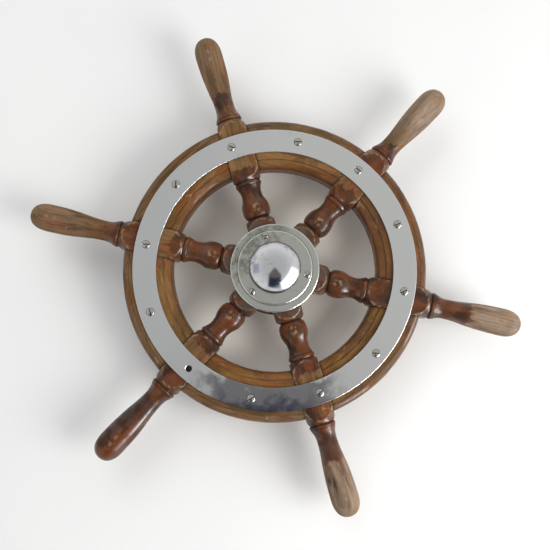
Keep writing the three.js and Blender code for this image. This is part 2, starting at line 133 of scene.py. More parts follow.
def bench_finish():
    paint, tree, shader, place = new_finish("bench_paint")
    tone = clouds(tree, place, 2.2, 3)
    fine = clouds(tree, place, 160, 3)
    colour = mixed(tree, ease_between(tree, tone, 0.35, 0.65), (0.875, 0.88, 0.88), (0.905, 0.905, 0.9))
    reach = put(tree, "ShaderNodeVectorMath", {0: place}, operation="LENGTH").outputs["Value"]
    # Painted bounce light: a warm tint under the wheel, where light off the wood would fall.
    painted_bounce_tint = ease_between(tree, reach, 0.16, 0.1, 0.0, 0.8)
    colour = mixed(tree, painted_bounce_tint, colour, (0.9, 0.85, 0.77))
    join(tree, shader, Base_Color=colour, Roughness=0.62, Normal=bumped(tree, fine, 0.0002, 0.3))
    shader.inputs["Specular IOR Level"].default_value = 0.25
    return paint


bench_reach = 7.0
board = bmesh.new()
bmesh.ops.create_circle(board, cap_ends=True, segments=128, radius=bench_reach)
bench_mesh = bpy.data.meshes.new("bench")
board.to_mesh(bench_mesh)
board.free()
bench_mesh.materials.append(bench_finish())
bench = bpy.data.objects.new("bench", bench_mesh)
bpy.context.scene.collection.objects.link(bench)


# ---- Light and camera ----
# A pale room with a duller ceiling and a dark shape on the near side. A large window is low on the right, and
# a soft fill on the far side. The camera looks nearly straight down the wheel's axis from a metre away.

def light_room():
    world = bpy.data.worlds.new("room")
    world.use_nodes = True
    bpy.context.scene.world = world
    tree = world.node_tree
    toward = tree.nodes.new("ShaderNodeTexCoord").outputs["Generated"]
    sideways, away, up = put(tree, "ShaderNodeSeparateXYZ", {0: toward}).outputs
    room = mixed(tree, ease_between(tree, up, 0.15, 0.95), (0.93, 0.93, 0.92), (0.6, 0.605, 0.6))
    # A cool, darker doorway low on the left.
    low_down = times(tree, ease_between(tree, up, 0.08, 0.2), ease_between(tree, up, 0.62, 0.5))
    doorway = times(tree, ease_between(tree, maths(tree, "ABSOLUTE", away), 0.3, 0.18), low_down)
    doorway = times(tree, doorway, ease_between(tree, sideways, -0.5, -0.62))
    room = stained(tree, room, doorway, 0.75, (0.3, 0.35, 0.46))
    # Someone standing on the near side: greyish shoulders overhead, dark clothes below them.
    near = times(tree, away, -1.0)
    reach = maths(tree, "MINIMUM", plus(tree, times(tree, near, 0.85), 0.01), 0.35)
    inside = less(tree, reach, maths(tree, "ABSOLUTE", sideways))
    figure = times(tree, ease_between(tree, inside, -0.03, 0.03), ease_between(tree, near, -0.01, 0.04))
    figure = times(tree, figure, ease_between(tree, up, 0.2, 0.36))
    dark = mixed(tree, ease_between(tree, up, 0.74, 0.86), (0.02, 0.03, 0.06), (0.17, 0.145, 0.15))
    tree.links.new(mixed(tree, figure, room, dark), tree.nodes["Background"].inputs["Color"])


def area_light(name, azimuth, elevation, distance, size, power, colour, unseen_by):
    """A soft rectangle of light that faces the wheel. unseen_by names the kind of ray that misses it."""
    lamp = bpy.data.lights.new(name, "AREA")
    lamp.shape = "RECTANGLE"
    lamp.size, lamp.size_y = size
    lamp.energy = power
    lamp.color = colour
    a, e = math.radians(azimuth), math.radians(elevation)
    toward = Vector((math.cos(a) * math.cos(e), math.sin(a) * math.cos(e), math.sin(e)))
    sideways = Vector((0, 0, 1)).cross(toward).normalized()
    facing = Matrix((sideways, toward.cross(sideways), toward)).transposed().to_4x4()
    made = bpy.data.objects.new(name, lamp)
    made.matrix_world = Matrix.Translation(toward * distance) @ facing
    setattr(made, unseen_by, False)
    bpy.context.scene.collection.objects.link(made)


light_room()
warm_day, cool_day = (1.0, 0.985, 0.96), (0.97, 0.985, 1.0)
area_light("window", -27, 40, 1.5, (0.8, 0.8), 14, warm_day, "visible_glossy")
area_light("fill", 122, 48, 2.2, (1.6, 1.2), 9.5, cool_day, "visible_glossy")
area_light("window_panes", -36, 20, 1.6, (1.35, 0.55), 36, cool_day, "visible_diffuse")
area_light("window_frame", -34, 23, 1.7, (2.1, 1.05), 14, cool_day, "visible_diffuse")
bpy.context.scene.view_settings.view_transform = "Standard"

camera_target = Vector((0.001, -0.0005, 0))
camera_distance = 1.0
camera_lean = math.radians(6.61)  # off the wheel's axis
camera_side = math.radians(-96.2)
camera_lens = 51.1

lens = bpy.data.cameras.new("camera")
lens.sensor_width = 36
lens.lens = camera_lens
camera = bpy.data.objects.new("camera", lens)
back = Vector(
    (
        math.sin(camera_lean) * math.cos(camera_side),
        math.sin(camera_lean) * math.sin(camera_side),
        math.cos(camera_lean),
    )
)
right = Vector((0, 1, 0)).cross(back).normalized()
turn = Matrix((right, back.cross(right), back)).transposed().to_4x4()
camera.matrix_world = Matrix.Translation(camera_target + back * camera_distance) @ turn
bpy.context.scene.collection.objects.link(camera)
bpy.context.scene.camera = camera


# ---- Bearing ----
# A flanged housing cast in bronze and faced on the lathe, with a bush pressed in and a thrust washer on its
# nose. Four screws through the flange hold it to the bulkhead, and the wheel turns on it.

SHARP = math.radians(38)  # steeper edges than this are drawn sharp


def box_centre(node):
    low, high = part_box(node)
    return (low + high) / 2


def eased(corners, steps=3):
    """An outline of (radius, height) points with each corner rounded. A corner is (radius, height, ease)."""
    points = []
    count = len(corners)
    for index, (radius, height, ease) in enumerate(corners):
        here = Vector((radius, height))
        if ease == 0:
            points.append(here)
            continue
        before = Vector(corners[index - 1][:2]) - here
        after = Vector(corners[(index + 1) % count][:2]) - here
        start, end = here + before.normalized() * ease, here + after.normalized() * ease
        # A point further along each side keeps the flat beside the rounding flat.
        if before.length > ease * 4:
            points.append(here + before.normalized() * ease * 2)
        for step in range(steps + 1):
            share = step / steps
            points.append(start.lerp(here, share).lerp(here.lerp(end, share), share))
        if after.length > ease * 4:
            points.append(here + after.normalized() * ease * 2)
    return [tuple(point) for point in points]


def turned(outline, sides):
    """A solid turned about Z. The outline runs anticlockwise seen with the axis on its left: up its outside.
    It starts and ends on the axis, or closes on itself."""
    shape = bmesh.new()
    rings = []
    for radius, height in outline:
        count = 1 if radius < 1e-7 else sides
        turns = [k * math.tau / sides for k in range(count)]
        rings.append([shape.verts.new((radius * math.cos(a), radius * math.sin(a), height)) for a in turns])
    pairs = list(zip(rings, rings[1:]))
    if outline[0][0] > 1e-7:
        pairs.append((rings[-1], rings[0]))
    for lower, upper in pairs:
        for k in range(sides):
            corners = [lower[k % len(lower)], lower[(k + 1) % len(lower)]]
            corners += [upper[(k + 1) % len(upper)], upper[k % len(upper)]]
            unique = list(dict.fromkeys(corners))
            if len(unique) > 2:
                shape.faces.new(unique)
    return shape


def drilled(shape, cutters):
    """Takes the cutters' solids out of the shape, as drills and saws do."""
    holes = bpy.data.meshes.new("cutters")
    together = bmesh.new()
    for cutter in cutters:
        cutter.to_mesh(holes)
        together.from_mesh(holes)
        cutter.free()
    together.to_mesh(holes)
    together.free()
    blank = bpy.data.meshes.new("blank")
    shape.to_mesh(blank)
    shape.free()
    tool = bpy.data.objects.new("cutters", holes)
    stock = bpy.data.objects.new("blank", blank)
    bpy.context.scene.collection.objects.link(tool)
    bpy.context.scene.collection.objects.link(stock)
    cut = stock.modifiers.new("cut", "BOOLEAN")
    cut.operation, cut.solver, cut.object = "DIFFERENCE", "EXACT", tool
    result = bpy.data.meshes.new_from_object(stock.evaluated_get(bpy.context.evaluated_depsgraph_get()))
    for made in (tool, stock):
        bpy.data.objects.remove(made)
    cleaned = bmesh.new()
    cleaned.from_mesh(result)
    bmesh.ops.remove_doubles(cleaned, verts=cleaned.verts, dist=1e-6)
    return cleaned


def mark(mesh, name, rule):
    """Writes rule(x, y, z), from -1 to 1, on each vertex, for a finish to read."""
    values = [max(-1.0, min(1.0, rule(*vertex.co))) for vertex in mesh.vertices]
    mesh.attributes.new(name, "FLOAT", "POINT").data.foreach_set("value", values)


def mesh_of(shape, name, finish):
    mesh = bpy.data.meshes.new(name)
    shape.to_mesh(mesh)
    shape.free()
    mesh.shade_smooth()
    mesh.set_sharp_from_angle(angle=SHARP)
    mesh.materials.append(finish)
    return mesh


def fit(mesh, node, body, place=None):
    """Puts a finished piece in the place of its plain one, on the same body."""
    piece = bpy.data.objects.new(node + "_finished", mesh)
    bpy.context.scene.collection.objects.link(piece)
    if place is not None:
        piece.matrix_world = place
    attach(piece, body)
    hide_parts(node)
    return piece


def hole(radius, low, high, x=0.0, y=0.0, sides=32):
    """A drill's cutter along Z."""
    cutter = turned([(0, low), (radius, low), (radius, high), (0, high)], sides)
    bmesh.ops.translate(cutter, verts=cutter.verts, vec=(x, y, 0))
    return cutter


def new_group(name, inputs, outputs):
    """An effect that several finishes share: named sockets with their kinds, and defaults for the inputs."""
    tree = bpy.data.node_groups.new(name, "ShaderNodeTree")
    for label, kind, default in inputs:
        socket = tree.interface.new_socket(label, in_out="INPUT", socket_type="NodeSocket" + kind)
        if default is not None:
            socket.default_value = default
    for label, kind in outputs:
        tree.interface.new_socket(label, in_out="OUTPUT", socket_type="NodeSocket" + kind)
    return tree, tree.nodes.new("NodeGroupInput").outputs, tree.nodes.new("NodeGroupOutput").inputs


def use(tree, group, **inputs):
    """Places a shared effect in a finish. An underscore in an input's name stands for a space."""
    named = {name.replace("_", " "): value for name, value in inputs.items()}
    return put(tree, "ShaderNodeGroup", named, node_tree=group).outputs


def stretched(tree, vector, scale):
    """Coordinates scaled by (x, y, z), to draw a pattern out or close it up."""
    return put(tree, "ShaderNodeMapping", {"Vector": vector, "Scale": scale}).outputs[0]


def plate_metal(tree, shader, colour, rough, height, distance, strength):
    """Joins up a bare or plated metal, with its relief in metres."""
    join(tree, shader, Base_Color=colour, Roughness=rough, Metallic=1.0)
    join(tree, shader, Normal=bumped(tree, height, distance, strength))


def tarnish_group():
    """What the weather does to metal: cloudy bloom, small dark pits, and the roughness that both leave."""
    tree, given, result = new_group(
        "tarnish",
        [("Vector", "Vector", None), ("Scale", "Float", 40.0), ("Amount", "Float", 0.5)],
        [("Bloom", "Float"), ("Pits", "Float"), ("Height", "Float")],
    )
    broad = clouds(tree, given["Vector"], given["Scale"], 5, 0.62)
    threshold = ease_between(tree, given["Amount"], 0.0, 1.0, 0.82, 0.3)
    bloom = ease_between(tree, less(tree, broad, threshold), -0.12, 0.14)
    spot_size = times(tree, given["Scale"], 14.0)
    spots = clouds(tree, given["Vector"], spot_size, 3, 0.7)
    gathered = plus(tree, spots, times(tree, bloom, 0.14))
    pits = ease_between(tree, gathered, 0.66, 0.74)
    tree.links.new(bloom, result["Bloom"])
    tree.links.new(pits, result["Pits"])
    tree.links.new(less(tree, times(tree, bloom, 0.2), pits), result["Height"])
    return tree


tarnish = tarnish_group()


def bronze_finish(name, fresh, patina, amount, grain):
    """Bronze: patina over most of it, and a sand-cast or machined grain."""
    finish, tree, shader, place = new_finish(name)
    aged = use(tree, tarnish, Vector=place, Scale=55.0, Amount=amount)
    dull = mixed(tree, aged["Bloom"], fresh, patina)
    colour = mixed(tree, aged["Pits"], dull, (0.03, 0.026, 0.018))
    rough = ease_between(tree, aged["Bloom"], 0.0, 1.0, 0.34, 0.62)
    height = plus(tree, clouds(tree, place, 900, 3), aged["Height"])
    plate_metal(tree, shader, colour, rough, height, grain, 0.6)
    return finish


cast_bronze = bronze_finish("cast_bronze", (0.52, 0.34, 0.16), (0.17, 0.12, 0.07), 0.62, 0.00025)
bush_bronze = bronze_finish("bush_bronze", (0.62, 0.42, 0.2), (0.3, 0.2, 0.1), 0.3, 0.00004)

housing_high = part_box("bearing_housing")[1]
bush_low, bush_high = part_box("bearing_bush")
flange_radius = housing_high.x
flange_top = 0.008
boss_radius = 0.026
boss_fillet = 0.003
housing_bore = bush_high.x + 0.0003
housing_neck = 0.01475
recess_radius = 0.019
recess_top = 0.006
housing_outline = [
    (recess_radius, 0, 0.0004),
    (flange_radius, 0, 0.0004),
    (flange_radius, flange_top, 0.001),
    (boss_radius, flange_top, boss_fillet),
    (boss_radius, housing_high.z, 0.0008),
    (housing_bore, housing_high.z, 0.0004),
    (housing_bore, bush_low.z - 0.0003, 0),
    (housing_neck, bush_low.z - 0.0003, 0),
    (housing_neck, recess_top, 0.0003),
    (recess_radius, recess_top, 0),
]
mount_circle = 0.0365
mount_hole = 0.0033
mount_holes = []
for quarter in range(4):
    a = math.radians(45 + 90 * quarter)
    x, y = mount_circle * math.cos(a), mount_circle * math.sin(a)
    mount_holes.append(hole(mount_hole, -0.001, flange_top + 0.001, x, y))
housing = drilled(turned(eased(housing_outline, 5), 128), mount_holes)
fit(mesh_of(housing, "bearing_housing", cast_bronze), "bearing_housing", "bearing")

washer_low, washer_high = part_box("thrust_washer")
shaft_clear = 0.0128
thrust_outline = [
    (shaft_clear, washer_low.z, 0.0003),
    (washer_high.x, washer_low.z, 0.0003),
    (washer_high.x, washer_high.z, 0.0003),
    (shaft_clear, washer_high.z, 0.0003),
]
thrust = mesh_of(turned(eased(thrust_outline), 96), "thrust_washer", bush_bronze)
fit(thrust, "thrust_washer", "bearing")


def refinish(node, finish):
    """A piece that keeps its plain shape, because it is out of sight, gets its finish."""
    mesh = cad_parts[node].data
    mesh.materials.clear()
    mesh.materials.append(finish)


refinish("bearing_bush", bush_bronze)


# ---- Shaft and its fastenings ----
# A short steel shaft, keyed to the hub. A washer and screw keep it in the bearing from behind, and a washer
# and a hexagon nut on its threaded nose hold the wheel on, under the cap.

def steel_finish():
    """Turned steel, greasy and a little rusted: fine tool marks round the shaft, with brown bloom."""
    finish, tree, shader, place = new_finish("steel")
    aged = use(tree, tarnish, Vector=place, Scale=90.0, Amount=0.42)
    bright = mixed(tree, aged["Bloom"], (0.36, 0.37, 0.385), (0.17, 0.115, 0.075))
    colour = mixed(tree, aged["Pits"], bright, (0.05, 0.03, 0.02))
    flattened = stretched(tree, place, (0.05, 0.05, 1.0))
    tool_marks = clouds(tree, flattened, 4000, 2)
    rough = ease_between(tree, aged["Bloom"], 0.0, 1.0, 0.3, 0.6)
    height = plus(tree, tool_marks, aged["Height"])
    plate_metal(tree, shader, colour, rough, height, 0.00005, 0.5)
    return finish


steel = steel_finish()
for node in ("wheel_shaft", "shaft_key", "shaft_washer", "shaft_nut"):
    refinish(node, steel)

keeper_low, keeper_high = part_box("keeper_washer")
keeper_bore = 0.0043
keeper_outline = [
    (keeper_bore, keeper_low.z, 0.0003),
    (keeper_high.x, keeper_low.z, 0.0005),
    (keeper_high.x, keeper_high.z, 0.0003),
    (keeper_bore, keeper_high.z, 0.0003),
]
fit(mesh_of(turned(eased(keeper_outline), 96), "keeper_washer", steel), "keeper_washer", "wheel")

keeper_screw_low, keeper_screw_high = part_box("keeper_screw")
keeper_head = keeper_screw_high.x
keeper_head_thick = 0.001
keeper_shank = 0.004
keeper_slot = (keeper_head * 3, 0.0016, 0.0012)


def saw_cut(size, height, x=0.0, y=0.0):
    """A saw's cutter: a box of that size, centred on that height."""
    cutter = bmesh.new()
    bmesh.ops.create_cube(cutter, size=1)
    bmesh.ops.scale(cutter, verts=cutter.verts, vec=size)
    bmesh.ops.translate(cutter, verts=cutter.verts, vec=(x, y, height))
    return cutter


keeper_screw_outline = [
    (0, keeper_screw_low.z, 0),
    (keeper_head, keeper_screw_low.z, 0.0003),
    (keeper_head, keeper_screw_low.z + keeper_head_thick, 0.0001),
    (keeper_shank, keeper_screw_low.z + keeper_head_thick, 0),
    (keeper_shank, keeper_screw_high.z, 0.0005),
    (0, keeper_screw_high.z, 0),
]
keeper_screw = drilled(turned(eased(keeper_screw_outline), 64), [saw_cut(keeper_slot, keeper_screw_low.z)])
fit(mesh_of(keeper_screw, "keeper_screw", steel), "keeper_screw", "wheel")


# ---- Hub casting ----
# The back half of the nave: a bronze flange behind the spokes' ends, with a barrel that goes through them and
# takes the shaft. Six bolts come through the spokes into the flange.

def bearing_of(node):
    """Which way a node stands from the wheel's axis, in radians."""
    centre = box_centre(node)
    return math.atan2(centre.y, centre.x)


spokes = range(1, 7)
spoke_turns = {k: bearing_of(f"nave_bolt_{k}") for k in spokes}
bolt_circle = box_centre("nave_bolt_1").xy.length
bolt_clear = 0.0033
pitch = math.tau / len(spokes)

casting_low, casting_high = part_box("hub_casting")
nave_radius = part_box("nave_front_plate")[1].x
flange_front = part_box("spoke_1")[0].z - 0.0003
barrel_radius = 0.022
casting_outline = [
    (shaft_clear, casting_low.z, 0.0004),
    (nave_radius, casting_low.z, 0.001),
    (nave_radius, flange_front, 0.0006),
    (barrel_radius, flange_front, 0),
    (barrel_radius, casting_high.z, 0.0005),
    (shaft_clear, casting_high.z, 0.0004),
]
key_low, key_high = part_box("shaft_key")
key_play = 0.0003
key_width = key_high.y - key_low.y + 2 * key_play
keyway_size = (key_high.x - key_low.x + 2 * key_play, key_width, 2 * (casting_high.z - key_low.z + key_play))


def round_nave(radius, low, high):
    """A hole at each spoke's bolt, from low to high."""
    places = [(bolt_circle * math.cos(a), bolt_circle * math.sin(a)) for a in spoke_turns.values()]
    return [hole(radius, low, high, x, y) for x, y in places]


casting_cuts = round_nave(bolt_clear, casting_low.z - 0.001, flange_front + 0.001)
casting_cuts.append(saw_cut(keyway_size, casting_high.z, x=(key_low.x + key_high.x) / 2))
casting = drilled(turned(eased(casting_outline), 128), casting_cuts)
fit(mesh_of(casting, "hub_casting", cast_bronze), "hub_casting", "wheel")


# ---- Spokes ----
# Each spoke and its handle are one length of square hardwood, turned between the squares: a vase and a bead
# inside the rim, a grip outside. Dark red varnish is left inside the rim and worn off the bleached grips.

seeded_inputs = [("Vector", "Vector", None), ("Seed", "Float", 0.0)]


def shifted(tree, vector, shift):
    return put(tree, "ShaderNodeVectorMath", {0: vector, 1: shift}, operation="ADD").outputs[0]


def scaled(tree, vector, factor):
    return put(tree, "ShaderNodeVectorMath", {0: vector, "Scale": factor}, operation="SCALE").outputs[0]


def grain_group():
    """Wood grain along X: growth rings about a far-off heart, dark pores, and the fibres' height."""
    tree, given, result = new_group(
        "wood_grain",
        seeded_inputs + [("Ring Spacing", "Float", 0.004)],
        [("Figure", "Float"), ("Pores", "Float"), ("Height", "Float")],
    )
    rolled = put(
        tree,
        "ShaderNodeVectorRotate",
        {"Vector": given["Vector"], "Angle": given["Seed"]},
        rotation_type="X_AXIS",
    ).outputs[0]
    shift = put(tree, "ShaderNodeCombineXYZ", {0: given["Seed"], 1: 0.045, 2: 0.02}).outputs[0]
    moved = shifted(tree, rolled, shift)
    slow = stretched(tree, moved, (0.3, 1.0, 1.0))
    sway = put(tree, "ShaderNodeTexNoise", {"Vector": slow, "Scale": 22.0, "Detail": 3.0}).outputs["Color"]
    halves = {0: sway, 1: (0.5, 0.5, 0.5)}
    centred = put(tree, "ShaderNodeVectorMath", halves, operation="SUBTRACT").outputs[0]
    small = put(tree, "ShaderNodeVectorMath", {0: centred, "Scale": 0.016}, operation="SCALE").outputs[0]
    swayed = shifted(tree, moved, small)
    drawn = stretched(tree, swayed, (0.03, 1.0, 1.0))
    turns = maths(tree, "DIVIDE", 0.314, given["Ring Spacing"])
    rings = put(
        tree,
        "ShaderNodeTexWave",
        {"Vector": drawn, "Scale": turns, "Distortion": 1.2, "Detail": 3.0, "Detail Scale": 2.0},
        wave_type="RINGS",
        rings_direction="X",
        wave_profile="SAW",
    ).outputs["Fac"]
    hair = stretched(tree, moved, (0.035, 1.0, 1.0))
    fine = clouds(tree, hair, 900, 4, 0.6)
    broad = clouds(tree, hair, 160, 3, 0.5)
    figure = plus(tree, times(tree, rings, 0.28), times(tree, broad, 1.1))
    pores = ease_between(tree, fine, 0.54, 0.68)
    tree.links.new(less(tree, figure, 0.22, clamp=True), result["Figure"])
    tree.links.new(pores, result["Pores"])
    tree.links.new(less(tree, times(tree, broad, 0.5), pores), result["Height"])
    return tree


def varnish_group():
    """Where old varnish is left. Cover is how much of it is, Left is 1 on it, Broken is its ragged edge."""
    tree, given, result = new_group(
        "varnish_left",
        seeded_inputs + [("Cover", "Float", 0.5), ("Scale", "Float", 60.0)],
        [("Left", "Float"), ("Broken", "Float")],
    )
    seeded = put(tree, "ShaderNodeCombineXYZ", {0: given["Seed"], 1: given["Seed"], 2: 0.0}).outputs[0]
    moved = shifted(tree, given["Vector"], seeded)
    drawn = stretched(tree, moved, (0.42, 1.0, 1.0))
    patches = clouds(tree, drawn, given["Scale"], 6, 0.6)
    threshold = ease_between(tree, given["Cover"], 0.0, 1.0, 0.76, 0.24)
    over = less(tree, patches, threshold)
    tree.links.new(ease_between(tree, over, -0.085, 0.075), result["Left"])
    distance = maths(tree, "ABSOLUTE", plus(tree, over, 0.02))
    tree.links.new(ease_between(tree, distance, 0.022, 0.0), result["Broken"])
    return tree


def scratch_group():
    """Thin knocks and scratches in two directions, broken up so that they come in short runs."""
    tree, given, result = new_group(
        "scratches",
        seeded_inputs + [("Scale", "Float", 60.0), ("Amount", "Float", 0.5)],
        [("Mark", "Float")],
    )
    seeded = put(tree, "ShaderNodeCombineXYZ", {0: given["Seed"], 1: 0.0, 2: given["Seed"]}).outputs[0]
    moved = shifted(tree, given["Vector"], seeded)
    where = clouds(tree, moved, times(tree, given["Scale"], 0.9), 2)
    limit = ease_between(tree, given["Amount"], 0.0, 1.0, 0.8, 0.4)
    kept = ease_between(tree, less(tree, where, limit), 0.0, 0.06)
    marks = []
    for slant in (0.35, -0.9):
        leaned = put(
            tree,
            "ShaderNodeMapping",
            {"Vector": moved, "Rotation": (0.4, 0.3, slant), "Scale": (0.3, 1.0, 1.0)},
        ).outputs[0]
        cells = put(
            tree,
            "ShaderNodeTexVoronoi",
            {"Vector": leaned, "Scale": given["Scale"]},
            feature="DISTANCE_TO_EDGE",
        ).outputs["Distance"]
        marks.append(ease_between(tree, cells, 0.022, 0.004))
    both = maths(tree, "MAXIMUM", *marks)
    tree.links.new(times(tree, both, kept), result["Mark"])
    return tree


wood_grain = grain_group()
varnish_left = varnish_group()
scratches = scratch_group()


def stops(tree, value, points):
    """A level that changes along value: points are (value, level), in order, with easing between them."""
    low, high = points[0][0], points[-1][0]
    share = put(tree, "ShaderNodeMapRange", {"Value": value, "From Min": low, "From Max": high}).outputs[0]
    ramp = put(tree, "ShaderNodeValToRGB", {"Fac": share})
    ramp.color_ramp.interpolation = "EASE"
    marks = ramp.color_ramp.elements
    while len(marks) < len(points):
        marks.new(0.5)
    for mark_made, (at, level) in zip(marks, points):
        mark_made.position = (at - low) / (high - low)
        mark_made.color = (level, level, level, 1)
    return ramp.outputs["Color"]


# Dark brown for dirt, and for painted shade in the spokes' hollows and the felloes' quirks.
dirt_and_shade_colour = (0.022, 0.015, 0.010)

half = (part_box("spoke_1")[1].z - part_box("spoke_1")[0].z) / 2  # of the square stock
spoke_height = box_centre("spoke_1").z
corner = half * math.sqrt(2)
arris = 0.0006  # how far the square's corners are eased
inner_end = 0.0229
hub_shoulder = (0.0425, 0.0658)
rim_square = (0.1305, 0.1705)  # where the square that the rim joins is whole
tip = 0.305


def shares(steps):
    """Steps from 0 up to but not including 1, closer together near both ends, so that edges stay crisp."""
    return [(1 - math.cos(math.pi * i / steps)) / 2 for i in range(steps)]


def curve(points, steps):
    """Points on the line through two points or the cubic curve of four, without the last one."""
    drawn = []
    for share in shares(steps):
        level = [Vector(point) for point in points]
        while len(level) > 1:
            level = [a.lerp(b, share) for a, b in zip(level, level[1:])]
        drawn.append(tuple(level[0]))
    return drawn


# Along a spoke, from the nave: how many steps a run of the outline takes, and the points that draw it from
# where the last run ended. A point is (distance from the axis, radius of the turning).
spoke_runs = [
    (4, (0.0302, corner)),
    (5, (hub_shoulder[0], corner)),
    (26, (0.0560, corner), (0.0625, 0.0185), (hub_shoulder[1], 0.0133)),
    (3, (0.0663, 0.0127)),
    (14, (0.0676, 0.0152), (0.0715, 0.0171), (0.077, 0.0171)),
    (22, (0.0875, 0.0171), (0.0885, 0.0126), (0.0985, 0.0126)),
    (10, (0.102, 0.0126), (0.1045, 0.0138), (0.107, 0.0149)),
    (3, (0.1074, 0.0143)),
    (7, (0.1076, 0.0156), (0.1087, 0.0161), (0.1102, 0.0161)),
    (7, (0.1117, 0.0161), (0.1128, 0.0156), (0.113, 0.0143)),
    (3, (0.1134, 0.0152)),
    (26, (0.1163, 0.0170), (0.1195, 0.0234), (rim_square[0], corner)),
    (16, (rim_square[1], corner)),
    (28, (0.1825, 0.0238), (0.1862, 0.0172), (0.1915, 0.0156)),
    (3, (0.1917, 0.0143)),
    (3, (0.1925, 0.0143)),
    (6, (0.1928, 0.0156), (0.1934, 0.0161), (0.1946, 0.0161)),
    (6, (0.1958, 0.0161), (0.1965, 0.0156), (0.1968, 0.0150)),
    (3, (0.1971, 0.0155)),
    (16, (0.2015, 0.0139), (0.204, 0.012), (0.212, 0.012)),
    (16, (0.224, 0.012), (0.232, 0.0136), (0.246, 0.0151)),
    (14, (0.256, 0.0162), (0.268, 0.0167), (0.282, 0.0167)),
    (22, (0.294, 0.0167), (tip, 0.0125), (tip, 0)),
]
outline, reached = [], (inner_end, corner)
for steps, *points in spoke_runs:
    outline += curve([reached, *points], steps)
    reached = points[-1]
outline.append(reached)
outline_at = [at for at, _ in outline]


def turning_radius(at):
    """The outline's radius at a distance from the axis."""
    index = max(1, min(len(outline) - 1, bisect.bisect_right(outline_at, at)))
    (a, low), (b, high) = outline[index - 1], outline[index]
    return low if b - a < 1e-9 else low + (high - low) * max(0.0, min(1.0, (at - a) / (b - a)))


def section(reach):
    """One ring of (y, z) points: the turning's circle cut by the square stock, with softened arrises."""
    radius = min(reach, corner - arris)
    flat = math.acos(min(1.0, half / radius)) if radius > half else 0.0
    flat = max(flat, math.radians(15))  # also spaces the points out where the turning is round
    soft = 0.0005
    ring = []
    for quarter in range(4):
        turns = [-flat + 2 * flat * share for share in shares(10)]
        turns += [flat + (math.pi / 2 - 2 * flat) * share for share in shares(8)]
        for a in turns:
            face = half / max(abs(math.cos(a)), abs(math.sin(a)))
            overlap = max(0.0, soft - abs(face - radius))
            length = min(face, radius) - overlap * overlap / (4 * soft)
            around = a + quarter * math.pi / 2
            ring.append((length * math.cos(around), length * math.sin(around)))
    return ring


def spoke_shape(seed):
    """A spoke along +X, with the small unevenness of hand work and wear."""
    shape = bmesh.new()
    rings = []
    slope = math.tan(pitch / 2)
    for at, reach in outline[:-1]:
        mitre = min(1.0, (at * slope - 0.00017) / half)
        ring = []
        for y, z in section(reach):
            worn = 1 + 0.009 * noise.noise(Vector((at * 38 + seed, y * 60, z * 60 + seed)))
            ring.append(shape.verts.new((at, y * mitre * worn, z * min(1.0, worn))))
        rings.append(ring)
    count = len(rings[0])
    for low, high in zip(rings, rings[1:]):
        for k in range(count):
            j = (k + 1) % count
            shape.faces.new((low[k], low[j], high[j], high[k]))
    shape.faces.new(rings[0][::-1])
    end = shape.verts.new((tip, 0, 0))
    for k in range(count):
        shape.faces.new((rings[-1][k], rings[-1][(k + 1) % count], end))
    return shape


def spoke_arris(x, y, z):
    """1 on the edges between the squares' flats and the turned surfaces."""
    off_flat = half - max(abs(y), abs(z))
    off_round = min(turning_radius(x), corner - arris) - math.hypot(y, z)
    return math.exp(-((off_flat / 0.0007) ** 2) - (off_round / 0.0007) ** 2)


def spoke_relief(x, y, z):
    """Above 0 on the turning's crests and below 0 in its hollows."""
    radius = turning_radius(x)
    if math.hypot(y, z) < radius - 0.0012:
        return 0.0
    nearby = [turning_radius(x + 0.0006 * step) for step in range(-3, 4)]
    return (radius - sum(nearby) / len(nearby)) / 0.0008


def ring_screw_hole(head, cone, shank, length, top, x, y, play=0.0003):
    """A countersunk hole for a wood screw, from its head's seat down."""
    outline_of_hole = [
        (0, top - length - play),
        (shank + play, top - length - play),
        (shank + play, top - cone - play),
        (head + play, top - 0.0005),
        (head + play, top + 0.001),
        (0, top + 0.001),
    ]
    cutter = turned(outline_of_hole, 48)
    bmesh.ops.translate(cutter, verts=cutter.verts, vec=(x, y, 0))
    return cutter


dowel_radius, dowel_in_block = 0.005, 0.014
dowel_play, hole_past = 0.0003, 0.002  # play round a dowel, and how far a hole's cutter runs past the wood
dowel_ring = 0.1535
dowel_height = box_centre("dowel_1_left").z - spoke_height
ring_screw = {"head": 0.0047, "cone": 0.0026, "shank": 0.0022, "length": 0.016}
ring_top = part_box("face_ring")[1].z
open_hole = {"head": 0.0041, "cone": 0.0009, "shank": 0.0034, "length": 0.016}  # where a screw is lost
screw_circle = 0.1565
screw_lead = bearing_of("ring_screw_1") - spoke_turns[1]  # how far the ring's screws stand past the spokes


def dowel_hole(side, low, high):
    """A dowel's hole in a side of the spoke that lies along +X, from low to high outwards from that side."""
    cutter = hole(dowel_radius + dowel_play, low, high, sides=24)
    bmesh.ops.rotate(cutter, verts=cutter.verts, matrix=Matrix.Rotation(math.radians(-90 * side), 3, "X"))
    bmesh.ops.translate(cutter, verts=cutter.verts, vec=(dowel_ring, side * half, dowel_height))
    return cutter


def spoke_cuts(screw):
    """The bolt's, the ring screw's and the two dowels' holes in a spoke that lies along +X."""
    cuts = [hole(bolt_clear, -half - 0.001, half + 0.001, bolt_circle, 0)]
    x, y = screw_circle * math.cos(screw_lead), screw_circle * math.sin(screw_lead)
    cuts.append(ring_screw_hole(**screw, top=ring_top - spoke_height, x=x, y=y))
    return cuts + [dowel_hole(side, -dowel_in_block - dowel_play, hole_past) for side in (1, -1)]


def tones(tree, place, seed, scale, colours):
    """Cloudy drifts of three colours, as old stain and varnish age unevenly."""
    shift = shifted(tree, place, (seed, -seed, seed))
    drawn = stretched(tree, shift, (0.55, 1.0, 1.0))
    first, second, third = colours
    low = mixed(tree, ease_between(tree, clouds(tree, drawn, scale, 5, 0.6), 0.4, 0.6), first, second)
    apart = shifted(tree, drawn, (0.4, 0.7, 0.2))
    return mixed(tree, ease_between(tree, clouds(tree, apart, scale * 0.8, 5, 0.6), 0.48, 0.62), low, third)


